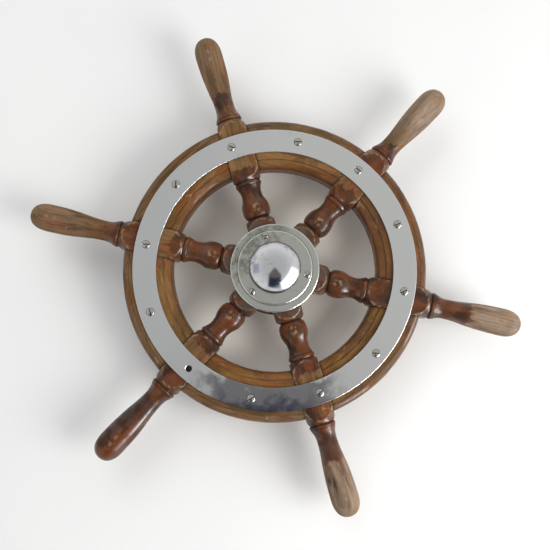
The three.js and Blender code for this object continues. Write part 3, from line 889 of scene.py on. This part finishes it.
def marked(tree, name):
    """What mark() wrote on the piece under that name."""
    return put(tree, "ShaderNodeAttribute", attribute_name=name).outputs["Fac"]


def spoke_finish(number, seed, cover, bleach, streaks):
    """cover is how much varnish is left along the spoke, as (distance, share); bleach is how grey the bare
    grip is, and streaks how much dark stain runs along it."""
    finish, tree, shader, place = new_finish(f"spoke_wood_{number}")
    along = put(tree, "ShaderNodeSeparateXYZ", {0: place}).outputs["X"]
    grain = use(tree, wood_grain, Vector=place, Seed=seed, Ring_Spacing=0.0042)
    edge = marked(tree, "arris")
    relief = marked(tree, "relief")
    hollow = times(tree, relief, -1.0, clamp=True)
    crest = maths(tree, "MAXIMUM", relief, edge, clamp=True)
    # Varnish goes first from crests and arrises, and stays longest in hollows.
    kept = less(tree, stops(tree, along, cover), times(tree, crest, 0.16))
    kept = plus(tree, kept, times(tree, hollow, 0.4), clamp=True)
    varnish = use(tree, varnish_left, Vector=place, Seed=seed, Cover=kept, Scale=58.0)
    scratch = use(tree, scratches, Vector=place, Seed=seed, Scale=75.0, Amount=0.42)["Mark"]
    browns = ((0.22, 0.12, 0.05), (0.14, 0.08, 0.035), (0.21, 0.08, 0.028))
    brown = tones(tree, place, seed, 42.0, browns)
    greys = ((0.37, 0.27, 0.195), (0.27, 0.195, 0.135), (0.33, 0.215, 0.135))
    grey = tones(tree, place, seed + 5, 36.0, greys)
    outer = ease_between(tree, along, 0.205, 0.25, 0.0, bleach)
    bare = mixed(tree, outer, brown, grey)
    fibre = ease_between(tree, grain["Figure"], 0.1, 0.8, 1.1, 0.66)
    bare = scaled(tree, bare, fibre)
    streak_place = stretched(tree, place, (0.16, 1.0, 1.0))
    streak = ease_between(tree, clouds(tree, streak_place, 120, 4, 0.62), 0.5, 0.66, 0.0, streaks)
    bare = mixed(tree, streak, bare, (0.05, 0.024, 0.014))
    bare = stained(tree, bare, grain["Pores"], 0.4, (0.06, 0.032, 0.018))
    reds = ((0.07, 0.024, 0.01), (0.13, 0.036, 0.011), (0.032, 0.014, 0.009))
    film = tones(tree, place, seed + 9, 60.0, reds)
    colour = stained(tree, bare, varnish["Left"], 0.92, film)
    colour = stained(tree, colour, varnish["Broken"], 0.2, (0.3, 0.17, 0.08))
    colour = stained(tree, colour, scratch, 0.5, (0.42, 0.29, 0.2))
    # Lighter along the arrises: chipped wear, and a painted highlight.
    chips_and_highlight = ease_between(tree, clouds(tree, place, 190, 3), 0.42, 0.62)
    colour = mixed(tree, times(tree, times(tree, edge, chips_and_highlight), 0.75), colour, (0.42, 0.28, 0.16))
    # Painted shade in the turning's hollows, with some dirt.
    colour = stained(tree, colour, hollow, 0.8, dirt_and_shade_colour)
    dusty = ease_between(tree, clouds(tree, place, 90, 4), 0.3, 0.6)
    by_nave = times(tree, ease_between(tree, along, 0.069, 0.06), dusty)
    colour = stained(tree, colour, by_nave, 0.7, (0.075, 0.052, 0.042))
    rough = ease_between(tree, varnish["Left"], 0.0, 1.0, 0.62, 0.4)
    gloss = clouds(tree, place, 75, 3)
    coat = times(tree, varnish["Left"], ease_between(tree, gloss, 0.38, 0.6, 0.15, 0.85))
    coat = plus(tree, coat, 0.04)
    height = plus(tree, times(tree, varnish["Left"], 0.6), times(tree, grain["Height"], 0.4))
    height = less(tree, height, times(tree, scratch, 0.6))
    join(tree, shader, Base_Color=colour, Roughness=rough, Coat_Weight=coat)
    join(tree, shader, Coat_Roughness=0.17, Coat_IOR=1.45, Normal=bumped(tree, height, 0.0002, 0.6))
    shader.inputs["Specular IOR Level"].default_value = 0.08
    return finish


# How each spoke has worn: anticlockwise from the one at the upper right.
inside_cover = [(0.02, 0.7), (0.062, 0.85), (0.08, 0.8), (0.104, 0.88), (0.12, 0.76)]
spoke_wear = {
    1: {
        "seed": 1.7, "bleach": 1.0, "streaks": 0.3,
        "grip": [(0.134, 0.4), (0.18, 0.75), (0.197, 0.8), (0.218, 0.35), (0.238, 0.1), (0.305, 0.02)],
    },
    2: {
        "seed": 3.1, "bleach": 0.34, "streaks": 0.45,
        "grip": [(0.132, 0.32), (0.18, 0.3), (0.197, 0.6), (0.218, 0.7), (0.236, 0.25), (0.305, 0.1)],
    },
    3: {
        "seed": 4.6, "bleach": 0.22, "streaks": 0.6,
        "grip": [(0.134, 0.42), (0.18, 0.7), (0.197, 0.65), (0.218, 0.4), (0.25, 0.25), (0.305, 0.15)],
    },
    4: {
        "seed": 6.2, "bleach": 0.0, "streaks": 0.8,
        "grip": [(0.134, 0.4), (0.18, 0.95), (0.197, 0.85), (0.225, 0.9), (0.26, 0.85), (0.305, 0.7)],
    },
    5: {
        "seed": 7.9, "bleach": 0.85, "streaks": 0.6,
        "grip": [(0.134, 0.38), (0.18, 0.55), (0.197, 0.95), (0.225, 0.85), (0.245, 0.4), (0.305, 0.12)],
    },
    6: {
        "seed": 9.4, "bleach": 0.95, "streaks": 0.4,
        "grip": [(0.136, 0.85), (0.18, 0.7), (0.197, 0.95), (0.228, 0.8), (0.25, 0.3), (0.305, 0.05)],
    },
}
for k, wear in spoke_wear.items():
    finish = spoke_finish(k, wear["seed"], inside_cover + wear["grip"], wear["bleach"], wear["streaks"])
    screw_cuts = spoke_cuts(open_hole if k == 4 else ring_screw)
    mesh = mesh_of(drilled(spoke_shape(wear["seed"]), screw_cuts), f"spoke_{k}", finish)
    mark(mesh, "arris", spoke_arris)
    mark(mesh, "relief", spoke_relief)
    place = Matrix.Translation((0, 0, spoke_height)) @ Matrix.Rotation(spoke_turns[k], 4, "Z")
    fit(mesh, f"spoke_{k}", "wheel", place)
    refinish(f"nave_bolt_{k}", steel)


# ---- Dowels ----
# Two beech pegs join each spoke's square to the felloes beside it. They are cut from straight-grained rod,
# glued in, and out of sight.

def dowel_finish():
    finish, tree, shader, place = new_finish("dowel_wood")
    grain = use(tree, wood_grain, Vector=place, Seed=0.6, Ring_Spacing=0.002)
    colour = mixed(tree, grain["Figure"], (0.6, 0.4, 0.2), (0.42, 0.25, 0.11))
    colour = mixed(tree, grain["Pores"], colour, (0.2, 0.1, 0.045))
    join(tree, shader, Base_Color=colour, Roughness=0.75, Normal=bumped(tree, grain["Height"], 0.0001, 0.5))
    return finish


dowel_wood = dowel_finish()
for k in spokes:
    for hand in ("left", "right"):
        refinish(f"dowel_{k}_{hand}", dowel_wood)


# ---- Felloes ----
# The six stretches of the rim, sawn to the curve from straight-grained hardwood and moulded with a flat face,
# a quirk and a round-over each side. They butt on the spokes' squares with a fine seam.

rim_inner, rim_outer = 0.123, 0.183
quirk = 0.0013
round_in = (0.0105, 0.0095)  # radial, deep
round_out = (0.0088, 0.0095)
seam = half + 0.0003  # from a spoke's centre line to a felloe's end


def rim_section():
    """(radius, height) round the rim's section, with the quirk's corners left crisp."""
    inner, outer = rim_inner + round_in[0], rim_outer - round_out[0]
    low, high = round_out[1] - half, half - quirk - round_out[1]

    def quarter(centre, size, first, steps):
        turns = [first + math.pi / 2 * share for share in shares(steps)]
        return [(centre[0] + size[0] * math.cos(a), centre[1] + size[1] * math.sin(a)) for a in turns]

    ease = 0.0004
    softened = [(0.0002, ease), (0.0003, 0), (0.0004, 0), (0.0009, 0)]  # the flat's edge, from the quirk up
    out = curve([(inner, -half), (outer, -half)], 8)
    out += quarter((outer, low), round_out, -math.pi / 2, 10)
    out += curve([(rim_outer, low), (rim_outer, high)], 4)
    out += quarter((outer, high), round_out, 0, 12)
    out += curve([(outer, high + round_out[1]), (outer - 0.0002, half - ease)], 3)
    out += curve([(outer - back, half - down) for back, down in softened], 4)
    out += curve([(outer - 0.0009, half), (inner + 0.0009, half)], 10)
    out += curve([(inner + back, half - down) for back, down in softened[::-1]], 4)
    out += curve([(inner + 0.0002, half - ease), (inner, high + round_in[1])], 3)
    out += quarter((inner, high), round_in, math.pi / 2, 14)
    out += curve([(rim_inner, high), (rim_inner, low)], 4)
    out += quarter((inner, low), round_in, math.pi, 10)
    return out


def felloe_shape(seed):
    """A felloe with its grain along X: the middle of its stretch stands off the axis along -Y."""
    ring = rim_section()
    middle = Vector((sum(r for r, _ in ring) / len(ring), 0))
    steps = 44
    ease = 0.00035
    shape = bmesh.new()
    rows = []
    for step in range(-1, steps + 2):
        share = max(-1.0, min(1.0, 2 * step / steps - 1))
        at_end = step in (-1, steps + 1)
        row = []
        for radius, height in ring:
            reach = pitch / 2 - math.asin(seam / radius)
            if at_end:
                toward = (middle - Vector((radius, height))).normalized() * ease
                radius, height = radius + toward.x, height + toward.y
            back_off = ease / radius * (0 if at_end else 1)
            a = share * (pitch / 2 - math.asin(seam / radius) - back_off)
            worn = 0.00022 * noise.noise(Vector((radius * 60 + seed, height * 60, a * 9 + seed)))
            radius_here = radius + (0 if at_end else worn)
            row.append(shape.verts.new((radius_here * math.sin(a), -radius_here * math.cos(a), height)))
        rows.append(row)
    count = len(ring)
    for low, high in zip(rows, rows[1:]):
        for k in range(count):
            j = (k + 1) % count
            shape.faces.new((low[k], high[k], high[j], low[j]))
    shape.faces.new(rows[0])
    shape.faces.new(rows[-1][::-1])
    return shape


dowel_in_felloe = 0.020


def felloe_cuts():
    """The ring screw's and the two dowels' holes, in the felloe's own frame."""
    a = screw_lead
    x, y = screw_circle * math.sin(a), -screw_circle * math.cos(a)
    cuts = [ring_screw_hole(**ring_screw, top=ring_top - spoke_height, x=x, y=y)]
    for side in (1, -1):
        peg = dowel_hole(side, -hole_past, dowel_in_felloe + dowel_play)
        # The spokes stand half a pitch to each side of the felloe's middle.
        aside = Matrix.Rotation(-math.pi / 2 - side * pitch / 2, 3, "Z")
        bmesh.ops.rotate(peg, verts=peg.verts, matrix=aside)
        cuts.append(peg)
    return cuts


def felloe_quirk_shade(x, y, z):
    """1 in the corners of the quirks, where painted shade and some dirt darken the wood."""
    radius = math.hypot(x, y)
    foot = half - quirk
    inner, outer = rim_inner + round_in[0], rim_outer - round_out[0]
    nearest = min(math.hypot(radius - inner, z - foot), math.hypot(radius - outer, z - foot))
    return math.exp(-((nearest / 0.0009) ** 2))


def felloe_seam(x, y, z):
    """1 at the ends, fading over the next few millimetres."""
    from_spoke = -y * math.sin(pitch / 2) - abs(x) * math.cos(pitch / 2)
    return math.exp(-max(0.0, from_spoke - seam) / 0.0014)


def round_axis(tree, place):
    """The three coordinates, and the distance from the wheel's axis."""
    x, y, z = put(tree, "ShaderNodeSeparateXYZ", {0: place}).outputs
    flat = put(tree, "ShaderNodeCombineXYZ", {0: x, 1: y, 2: 0.0}).outputs[0]
    return x, y, z, put(tree, "ShaderNodeVectorMath", {0: flat}, operation="LENGTH").outputs["Value"]


def felloe_finish(number, seed, golden, cover):
    """Golden hardwood with old varnish and a reddish stain low on the round-overs."""
    finish, tree, shader, place = new_finish(f"rim_wood_{number}")
    x, y, z, radius = round_axis(tree, place)
    grain = use(tree, wood_grain, Vector=place, Seed=seed, Ring_Spacing=0.0055)
    quirk_shade = marked(tree, "quirk")
    joint = marked(tree, "seam")
    blotch = clouds(tree, place, 30, 5)
    gold = tones(tree, place, seed, 34.0, (golden, (0.13, 0.068, 0.022), (0.21, 0.08, 0.024)))
    dulls = ((0.2, 0.13, 0.072), (0.125, 0.085, 0.045), (0.17, 0.08, 0.035))
    dull = tones(tree, place, seed + 3, 30.0, dulls)
    outside = ease_between(tree, radius, 0.168, 0.176, 0.0, 0.8)
    wood = mixed(tree, outside, gold, dull)
    fibre = ease_between(tree, grain["Figure"], 0.1, 0.8, 1.12, 0.68)
    wood = scaled(tree, wood, fibre)
    lower = ease_between(tree, z, half - 0.009, half - 0.0008, 1.0, 0.0)
    red_share = times(tree, lower, ease_between(tree, blotch, 0.3, 0.56, 0.35, 1.0))
    wood = stained(tree, wood, red_share, 0.86, (0.07, 0.022, 0.01))
    wood = stained(tree, wood, grain["Pores"], 0.4, (0.05, 0.024, 0.012))
    kept = plus(tree, times(tree, lower, 0.25), cover, clamp=True)
    varnish = use(tree, varnish_left, Vector=place, Seed=seed, Cover=kept, Scale=42.0)
    ambers = ((0.13, 0.052, 0.014), (0.075, 0.026, 0.01), (0.19, 0.07, 0.018))
    film = tones(tree, place, seed + 9, 48.0, ambers)
    colour = stained(tree, wood, varnish["Left"], 0.7, film)
    colour = stained(tree, colour, varnish["Broken"], 0.15, (0.4, 0.24, 0.12))
    scratch = use(tree, scratches, Vector=place, Seed=seed, Scale=62.0, Amount=0.5)["Mark"]
    colour = stained(tree, colour, scratch, 0.5, (0.46, 0.31, 0.19))
    # Painted shade and dirt in the quirks' corners, and dark joints at the felloes' ends.
    gathered = plus(tree, times(tree, quirk_shade, 0.4), joint)
    uneven = times(tree, gathered, ease_between(tree, blotch, 0.2, 0.6, 0.5, 1.0), clamp=True)
    colour = stained(tree, colour, uneven, 0.8, dirt_and_shade_colour)
    rough = ease_between(tree, varnish["Left"], 0.0, 1.0, 0.58, 0.42)
    coat = ease_between(tree, varnish["Left"], 0.0, 1.0, 0.04, 0.5)
    height = plus(tree, times(tree, varnish["Left"], 0.4), times(tree, grain["Height"], 0.5))
    height = less(tree, height, scratch)
    join(tree, shader, Base_Color=colour, Roughness=rough, Coat_Weight=coat)
    join(tree, shader, Coat_Roughness=0.24, Coat_IOR=1.45, Normal=bumped(tree, height, 0.0002, 0.6))
    shader.inputs["Specular IOR Level"].default_value = 0.08
    return finish


# How each felloe has worn: anticlockwise from the top.
felloe_wear = {
    1: {"seed": 2.3, "golden": (0.27, 0.14, 0.05), "cover": 0.45},
    2: {"seed": 5.2, "golden": (0.29, 0.155, 0.062), "cover": 0.3},
    3: {"seed": 8.8, "golden": (0.26, 0.14, 0.052), "cover": 0.35},
    4: {"seed": 11.3, "golden": (0.24, 0.12, 0.03), "cover": 0.4},
    5: {"seed": 14.9, "golden": (0.23, 0.115, 0.033), "cover": 0.5},
    6: {"seed": 17.4, "golden": (0.19, 0.088, 0.032), "cover": 0.7},
}
for k, wear in felloe_wear.items():
    finish = felloe_finish(k, wear["seed"], wear["golden"], wear["cover"])
    mesh = mesh_of(drilled(felloe_shape(wear["seed"]), felloe_cuts()), f"felloe_{k}", finish)
    mark(mesh, "quirk", felloe_quirk_shade)
    mark(mesh, "seam", felloe_seam)
    middle_turn = spoke_turns[k] + pitch / 2 + math.pi / 2
    place = Matrix.Translation((0, 0, spoke_height)) @ Matrix.Rotation(middle_turn, 4, "Z")
    fit(mesh, f"felloe_{k}", "wheel", place)


# ---- Face ring ----
# A flat ring of chromed brass, turned with eased edges and screwed down on the rim at twelve places. The
# plating is dull and marked, and dark blue along its lowest stretch, partly as tarnish and partly as a
# painted reflection. Its left side is painted darker, as shade.

ring_low, ring_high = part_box("face_ring")
ring_inner, ring_outer = 0.1415, ring_high.x
ring_ease = 0.0007
ring_outline = [
    (ring_inner, ring_low.z, 0.0002),
    (ring_outer, ring_low.z, 0.0002),
    (ring_outer, ring_high.z, ring_ease),
    (ring_inner, ring_high.z, ring_ease),
]
ring_screws = [k for k in range(1, 13) if k != 7]  # the seventh is lost, and its hole is open
first_screw = bearing_of("ring_screw_1")


def ring_finish():
    """Chrome plate: soft clouding, a few scratches, and a hazed stretch dark blue at its outer edge, partly
    tarnish and partly a painted reflection. Painted shade darkens its left side.
    """
    finish, tree, shader, place = new_finish("ring_chrome")
    x, y, z, radius = round_axis(tree, place)
    uneven = times(tree, less(tree, clouds(tree, place, 38, 5), 0.5), 0.1)
    low_down = plus(tree, times(tree, y, -1.0), uneven)
    aside = maths(tree, "ABSOLUTE", plus(tree, x, 0.012))
    hazed = ease_between(tree, plus(tree, aside, uneven), 0.098, 0.062)
    hazed = times(tree, hazed, ease_between(tree, low_down, 0.118, 0.134))
    outward = ease_between(tree, plus(tree, radius, uneven), 0.151, 0.168)
    # Dark blue at the outer edge of the lowest stretch: partly tarnish, partly a painted reflection of dark
    # clothes.
    bruise_and_reflection = times(tree, outward, ease_between(tree, plus(tree, aside, uneven), 0.075, 0.03))
    bruise_and_reflection = times(tree, bruise_and_reflection, ease_between(tree, low_down, 0.12, 0.14))
    cloudy = use(tree, tarnish, Vector=place, Scale=26.0, Amount=0.35)["Bloom"]
    specks = use(tree, tarnish, Vector=place, Scale=70.0, Amount=plus(tree, times(tree, hazed, 0.4), 0.3))
    # Painted shade: the chrome's colour darkens towards the left, the side away from the window.
    painted_shade_left = ease_between(tree, x, 0.03, -0.15)
    clean = mixed(tree, painted_shade_left, (0.72, 0.725, 0.715), (0.64, 0.645, 0.65))
    colour = stained(tree, clean, cloudy, 0.4, (0.48, 0.48, 0.49))
    colour = stained(tree, colour, hazed, 0.85, (0.21, 0.205, 0.22))
    colour = stained(tree, colour, bruise_and_reflection, 0.85, (0.045, 0.055, 0.1))
    colour = stained(tree, colour, specks["Pits"], 0.6, (0.16, 0.16, 0.17))
    scratch = use(tree, scratches, Vector=place, Seed=2.0, Scale=60.0, Amount=0.3)["Mark"]
    rough = ease_between(tree, clouds(tree, place, 18, 4), 0.3, 0.7, 0.17, 0.24)
    rough = plus(tree, rough, times(tree, hazed, 0.08))
    rough = plus(tree, rough, times(tree, scratch, 0.2), clamp=True)
    height = times(tree, plus(tree, scratch, specks["Pits"]), -0.5)
    plate_metal(tree, shader, colour, rough, height, 0.00003, 0.3)
    return finish


ring_cuts = []
for k in range(12):
    a = first_screw + k * math.tau / 12
    x, y = screw_circle * math.cos(a), screw_circle * math.sin(a)
    size = ring_screw if k + 1 in ring_screws else open_hole
    ring_cuts.append(ring_screw_hole(**size, top=ring_high.z, x=x, y=y))
face_ring = drilled(turned(eased(ring_outline), 240), ring_cuts)
fit(mesh_of(face_ring, "face_ring", ring_finish()), "face_ring", "wheel")


# ---- Ring screws ----
# Slotted wood screws with raised heads, turned in brass and nickelled. They are driven home by hand, so that
# every slot stands its own way.

def screw_finish():
    """Nickel with dirt in the slot and rubbed bright on the crown."""
    finish, tree, shader, place = new_finish("screw_metal")
    aged = use(tree, tarnish, Vector=place, Scale=260.0, Amount=0.45)
    height_in_head = put(tree, "ShaderNodeSeparateXYZ", {0: place}).outputs["Z"]
    crown = ease_between(tree, height_in_head, -0.0004, 0.0008)
    bright = mixed(tree, times(tree, aged["Bloom"], 0.6), (0.52, 0.51, 0.47), (0.27, 0.26, 0.22))
    colour = mixed(tree, crown, (0.045, 0.04, 0.033), bright)
    rough = ease_between(tree, aged["Bloom"], 0.0, 1.0, 0.2, 0.42)
    plate_metal(tree, shader, colour, rough, aged["Height"], 0.00005, 0.5)
    return finish


def screw_shape(head, cone, shank, length, rise, slot, slot_deep=0.0012):
    """A wood screw with its head's rim at z = 0, its crown above and its slot along X."""
    out = [(0, -length), (shank * 0.5, -length + 0.0004), (shank, -length + 0.003)]
    out += [(shank, -cone), (head - 0.0001, -0.00025), (head, -0.0001)]
    steps = 8
    out += [(head * math.cos(a), rise * math.sin(a)) for a in (math.pi / 2 * i / steps for i in range(steps))]
    out.append((0, rise))
    cutter = saw_cut((head * 3, slot, slot_deep * 2 + rise), rise / 2)
    return drilled(turned(out, 40), [cutter])


screw_metal = screw_finish()
ring_screw_mesh = mesh_of(screw_shape(**ring_screw, rise=0.0013, slot=0.0012), "ring_screw", screw_metal)
ring_slots = {1: -40, 2: 0, 3: -17, 4: 90, 5: 0, 6: -76, 8: 30, 9: 38, 10: -5, 11: 25, 12: 20}
for k in ring_screws:
    centre = box_centre(f"ring_screw_{k}")
    place = Matrix.Translation((centre.x, centre.y, ring_high.z))
    place = place @ Matrix.Rotation(math.radians(ring_slots[k]), 4, "Z")
    fit(ring_screw_mesh, f"ring_screw_{k}", "wheel", place)


# ---- Nave front plate ----
# A brass plate turned with an eased edge, over the spokes' ends and held by the six nave bolts. Its plating
# has gone dull and greenish.

def nave_finish():
    """Dull plating: grey-green bloom, painted shade with some grime in the corner at the cap ring's foot, and
    rubbed bright on the outer edges, partly as a painted highlight.
    """
    finish, tree, shader, place = new_finish("nave_metal")
    x, y, z, radius = round_axis(tree, place)
    corner_side = less(tree, y, x)
    upper_left = ease_between(tree, corner_side, -0.01, 0.06, 0.36, 0.66)
    aged = use(tree, tarnish, Vector=place, Scale=95.0, Amount=upper_left)
    clean = mixed(tree, clouds(tree, place, 26, 4), (0.56, 0.565, 0.52), (0.46, 0.465, 0.43))
    colour = stained(tree, clean, aged["Bloom"], 0.6, (0.27, 0.27, 0.22))
    colour = mixed(tree, aged["Pits"], colour, (0.07, 0.065, 0.045))
    # Painted shade, with some grime, in the corner at the foot of the cap ring.
    step = ease_between(tree, maths(tree, "ABSOLUTE", less(tree, radius, cap_radius + 0.0006)), 0.0012, 0.0)
    gathered = times(tree, step, ease_between(tree, z, plate_high.z + 0.001, plate_high.z))
    colour = stained(tree, colour, gathered, 0.5, (0.06, 0.058, 0.04))
    # Painted highlight on the outer top edges, together with the rubbing that brightens them.
    rubbed_highlight = marked(tree, "rubbed")
    colour = stained(tree, colour, rubbed_highlight, 0.9, (0.95, 0.95, 0.91))
    turned_marks = clouds(
        tree,
        put(tree, "ShaderNodeCombineXYZ", {0: radius, 1: 0.0, 2: 0.0}).outputs[0],
        2600,
        2,
    )
    rough = ease_between(tree, aged["Bloom"], 0.0, 1.0, 0.3, 0.46)
    rough = less(tree, rough, times(tree, rubbed_highlight, 0.14))
    height = plus(tree, aged["Height"], times(tree, turned_marks, 0.25))
    plate_metal(tree, shader, colour, rough, height, 0.00006, 0.6)
    return finish


plate_low, plate_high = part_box("nave_front_plate")
cap_low, cap_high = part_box("cap_ring")
cap_radius = cap_high.x
plate_bore = 0.0223
plate_ease = 0.0012
plate_outline = [
    (plate_bore, plate_low.z, 0.0002),
    (nave_radius, plate_low.z, 0.0003),
    (nave_radius, plate_high.z, plate_ease),
    (plate_bore, plate_high.z, 0.0002),
]
nave_bolt = {"head": 0.0054, "cone": 0.0029, "shank": 0.003, "length": 0.042}
cap_screw = {"head": 0.0036, "cone": 0.002, "shank": 0.0017, "length": 0.0064}
cap_screws = [1, 2, 3]
cap_screw_clear = 0.002
nave_metal = nave_finish()


def rubbed_highlight_edge(outer, top):
    """A rule that is 1 on an outer top edge."""
    return lambda x, y, z: math.exp(-(((math.hypot(x, y) - outer) / 0.001) ** 2) - ((z - top) / 0.001) ** 2)


plate_cuts = []
for a in spoke_turns.values():
    x, y = bolt_circle * math.cos(a), bolt_circle * math.sin(a)
    plate_cuts.append(ring_screw_hole(**nave_bolt, top=plate_high.z, x=x, y=y))
for k in cap_screws:
    centre = box_centre(f"cap_screw_{k}")
    plate_cuts.append(hole(cap_screw_clear, plate_low.z - 0.001, plate_high.z + 0.001, centre.x, centre.y))
front_plate = drilled(turned(eased(plate_outline, 4), 160), plate_cuts)
plate_mesh = mesh_of(front_plate, "nave_front_plate", nave_metal)
mark(plate_mesh, "rubbed", rubbed_highlight_edge(nave_radius, plate_high.z))
fit(plate_mesh, "nave_front_plate", "wheel")


# ---- Cap ring ----
# A raised ring of the same plated brass, turned with a rebate that holds the dome's lip down on the plate.
# Three small screws fix it, over every other spoke.

cap_ease = 0.0012
dome_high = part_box("dome_cap")[1]
lip_radius = dome_high.x
lip_top = cap_low.z + 0.0012
dome_radius = 0.030
dome_play = 0.0008
cap_outline = [
    (lip_radius + 0.0003, cap_low.z, 0),
    (cap_radius, cap_low.z, 0.0002),
    (cap_radius, cap_high.z, cap_ease),
    (dome_radius + dome_play, cap_high.z, 0.0004),
    (dome_radius + dome_play, lip_top + 0.0003, 0),
    (lip_radius + 0.0003, lip_top + 0.0003, 0),
]
cap_cuts = []
for k in cap_screws:
    centre = box_centre(f"cap_screw_{k}")
    cap_cuts.append(ring_screw_hole(**cap_screw, top=cap_high.z, x=centre.x, y=centre.y))
cap_ring = drilled(turned(eased(cap_outline, 4), 160), cap_cuts)
cap_mesh = mesh_of(cap_ring, "cap_ring", nave_metal)
mark(cap_mesh, "rubbed", rubbed_highlight_edge(cap_radius, cap_high.z))
fit(cap_mesh, "cap_ring", "wheel")


# ---- Dome cap ----
# A dome spun from sheet brass, chromed and still bright, that hides the shaft's nut. The cap ring holds it by
# its lip, and a thin dark gap shows round it.

def dome_finish():
    """Mirror plate with a scatter of pits, thickest near its foot."""
    finish, tree, shader, place = new_finish("dome_chrome")
    up = put(tree, "ShaderNodeSeparateXYZ", {0: place}).outputs["Z"]
    foot = ease_between(tree, up, lip_top + 0.02, lip_top, 0.42, 0.8)
    aged = use(tree, tarnish, Vector=place, Scale=75.0, Amount=foot)
    colour = mixed(tree, times(tree, aged["Bloom"], 0.65), (0.62, 0.63, 0.65), (0.34, 0.34, 0.37))
    colour = mixed(tree, aged["Pits"], colour, (0.08, 0.085, 0.1))
    hairlines = use(tree, scratches, Vector=place, Seed=4.0, Scale=150.0, Amount=0.4)["Mark"]
    rough = ease_between(tree, aged["Bloom"], 0.0, 1.0, 0.14, 0.26)
    rough = plus(tree, rough, times(tree, hairlines, 0.12), clamp=True)
    plate_metal(tree, shader, colour, rough, aged["Height"], 0.00003, 0.4)
    return finish


dome_wall = 0.0015
dome_shoulder = 0.003
dome_crown = 0.0134  # a flat dome on a short straight side
dome_ball = (dome_radius ** 2 + dome_crown ** 2) / (2 * dome_crown)
ball_centre = dome_high.z - dome_ball
shoulder_out = dome_radius - dome_shoulder
shoulder_up = ball_centre + math.sqrt((dome_ball - dome_shoulder) ** 2 - shoulder_out ** 2)
dome_meets = math.atan2(shoulder_up - ball_centre, shoulder_out)  # where the shoulder runs into the dome


def dome_skin(inset):
    """The dome's profile from its foot to the axis, a given distance inside its outer skin."""
    skin = []
    for i in range(9):
        a = dome_meets * i / 8
        reach = dome_shoulder - inset
        skin.append((shoulder_out + reach * math.cos(a), shoulder_up + reach * math.sin(a)))
    for i in range(1, 24):
        a = dome_meets + (math.pi / 2 - dome_meets) * i / 24
        reach = dome_ball - inset
        skin.append((reach * math.cos(a), ball_centre + reach * math.sin(a)))
    skin.append((0, dome_high.z - inset))
    return skin


dome_inner = dome_radius - dome_wall
dome_outline = [(dome_inner, cap_low.z), (lip_radius, cap_low.z), (lip_radius, lip_top)]
dome_outline += [(dome_radius + 0.0004, lip_top), (dome_radius, lip_top + 0.0004)] + dome_skin(0)
dome_inside = dome_skin(dome_wall)[::-1] + [(dome_inner, lip_top)]


dome = turned(dome_inside + dome_outline, 128)
fit(mesh_of(dome, "dome_cap", dome_finish()), "dome_cap", "wheel")


# ---- Cap screws ----
# Three small screws of the same make and nickel as the ring's. They go through the cap ring into the plate,
# and end inside it.

cap_screw_mesh = mesh_of(screw_shape(**cap_screw, rise=0.0012, slot=0.001), "cap_screw", screw_metal)
cap_slots = {1: 10, 2: 60, 3: 35}
for k in cap_screws:
    centre = box_centre(f"cap_screw_{k}")
    place = Matrix.Translation((centre.x, centre.y, cap_high.z))
    place = place @ Matrix.Rotation(math.radians(cap_slots[k]), 4, "Z")
    fit(cap_screw_mesh, f"cap_screw_{k}", "wheel", place)
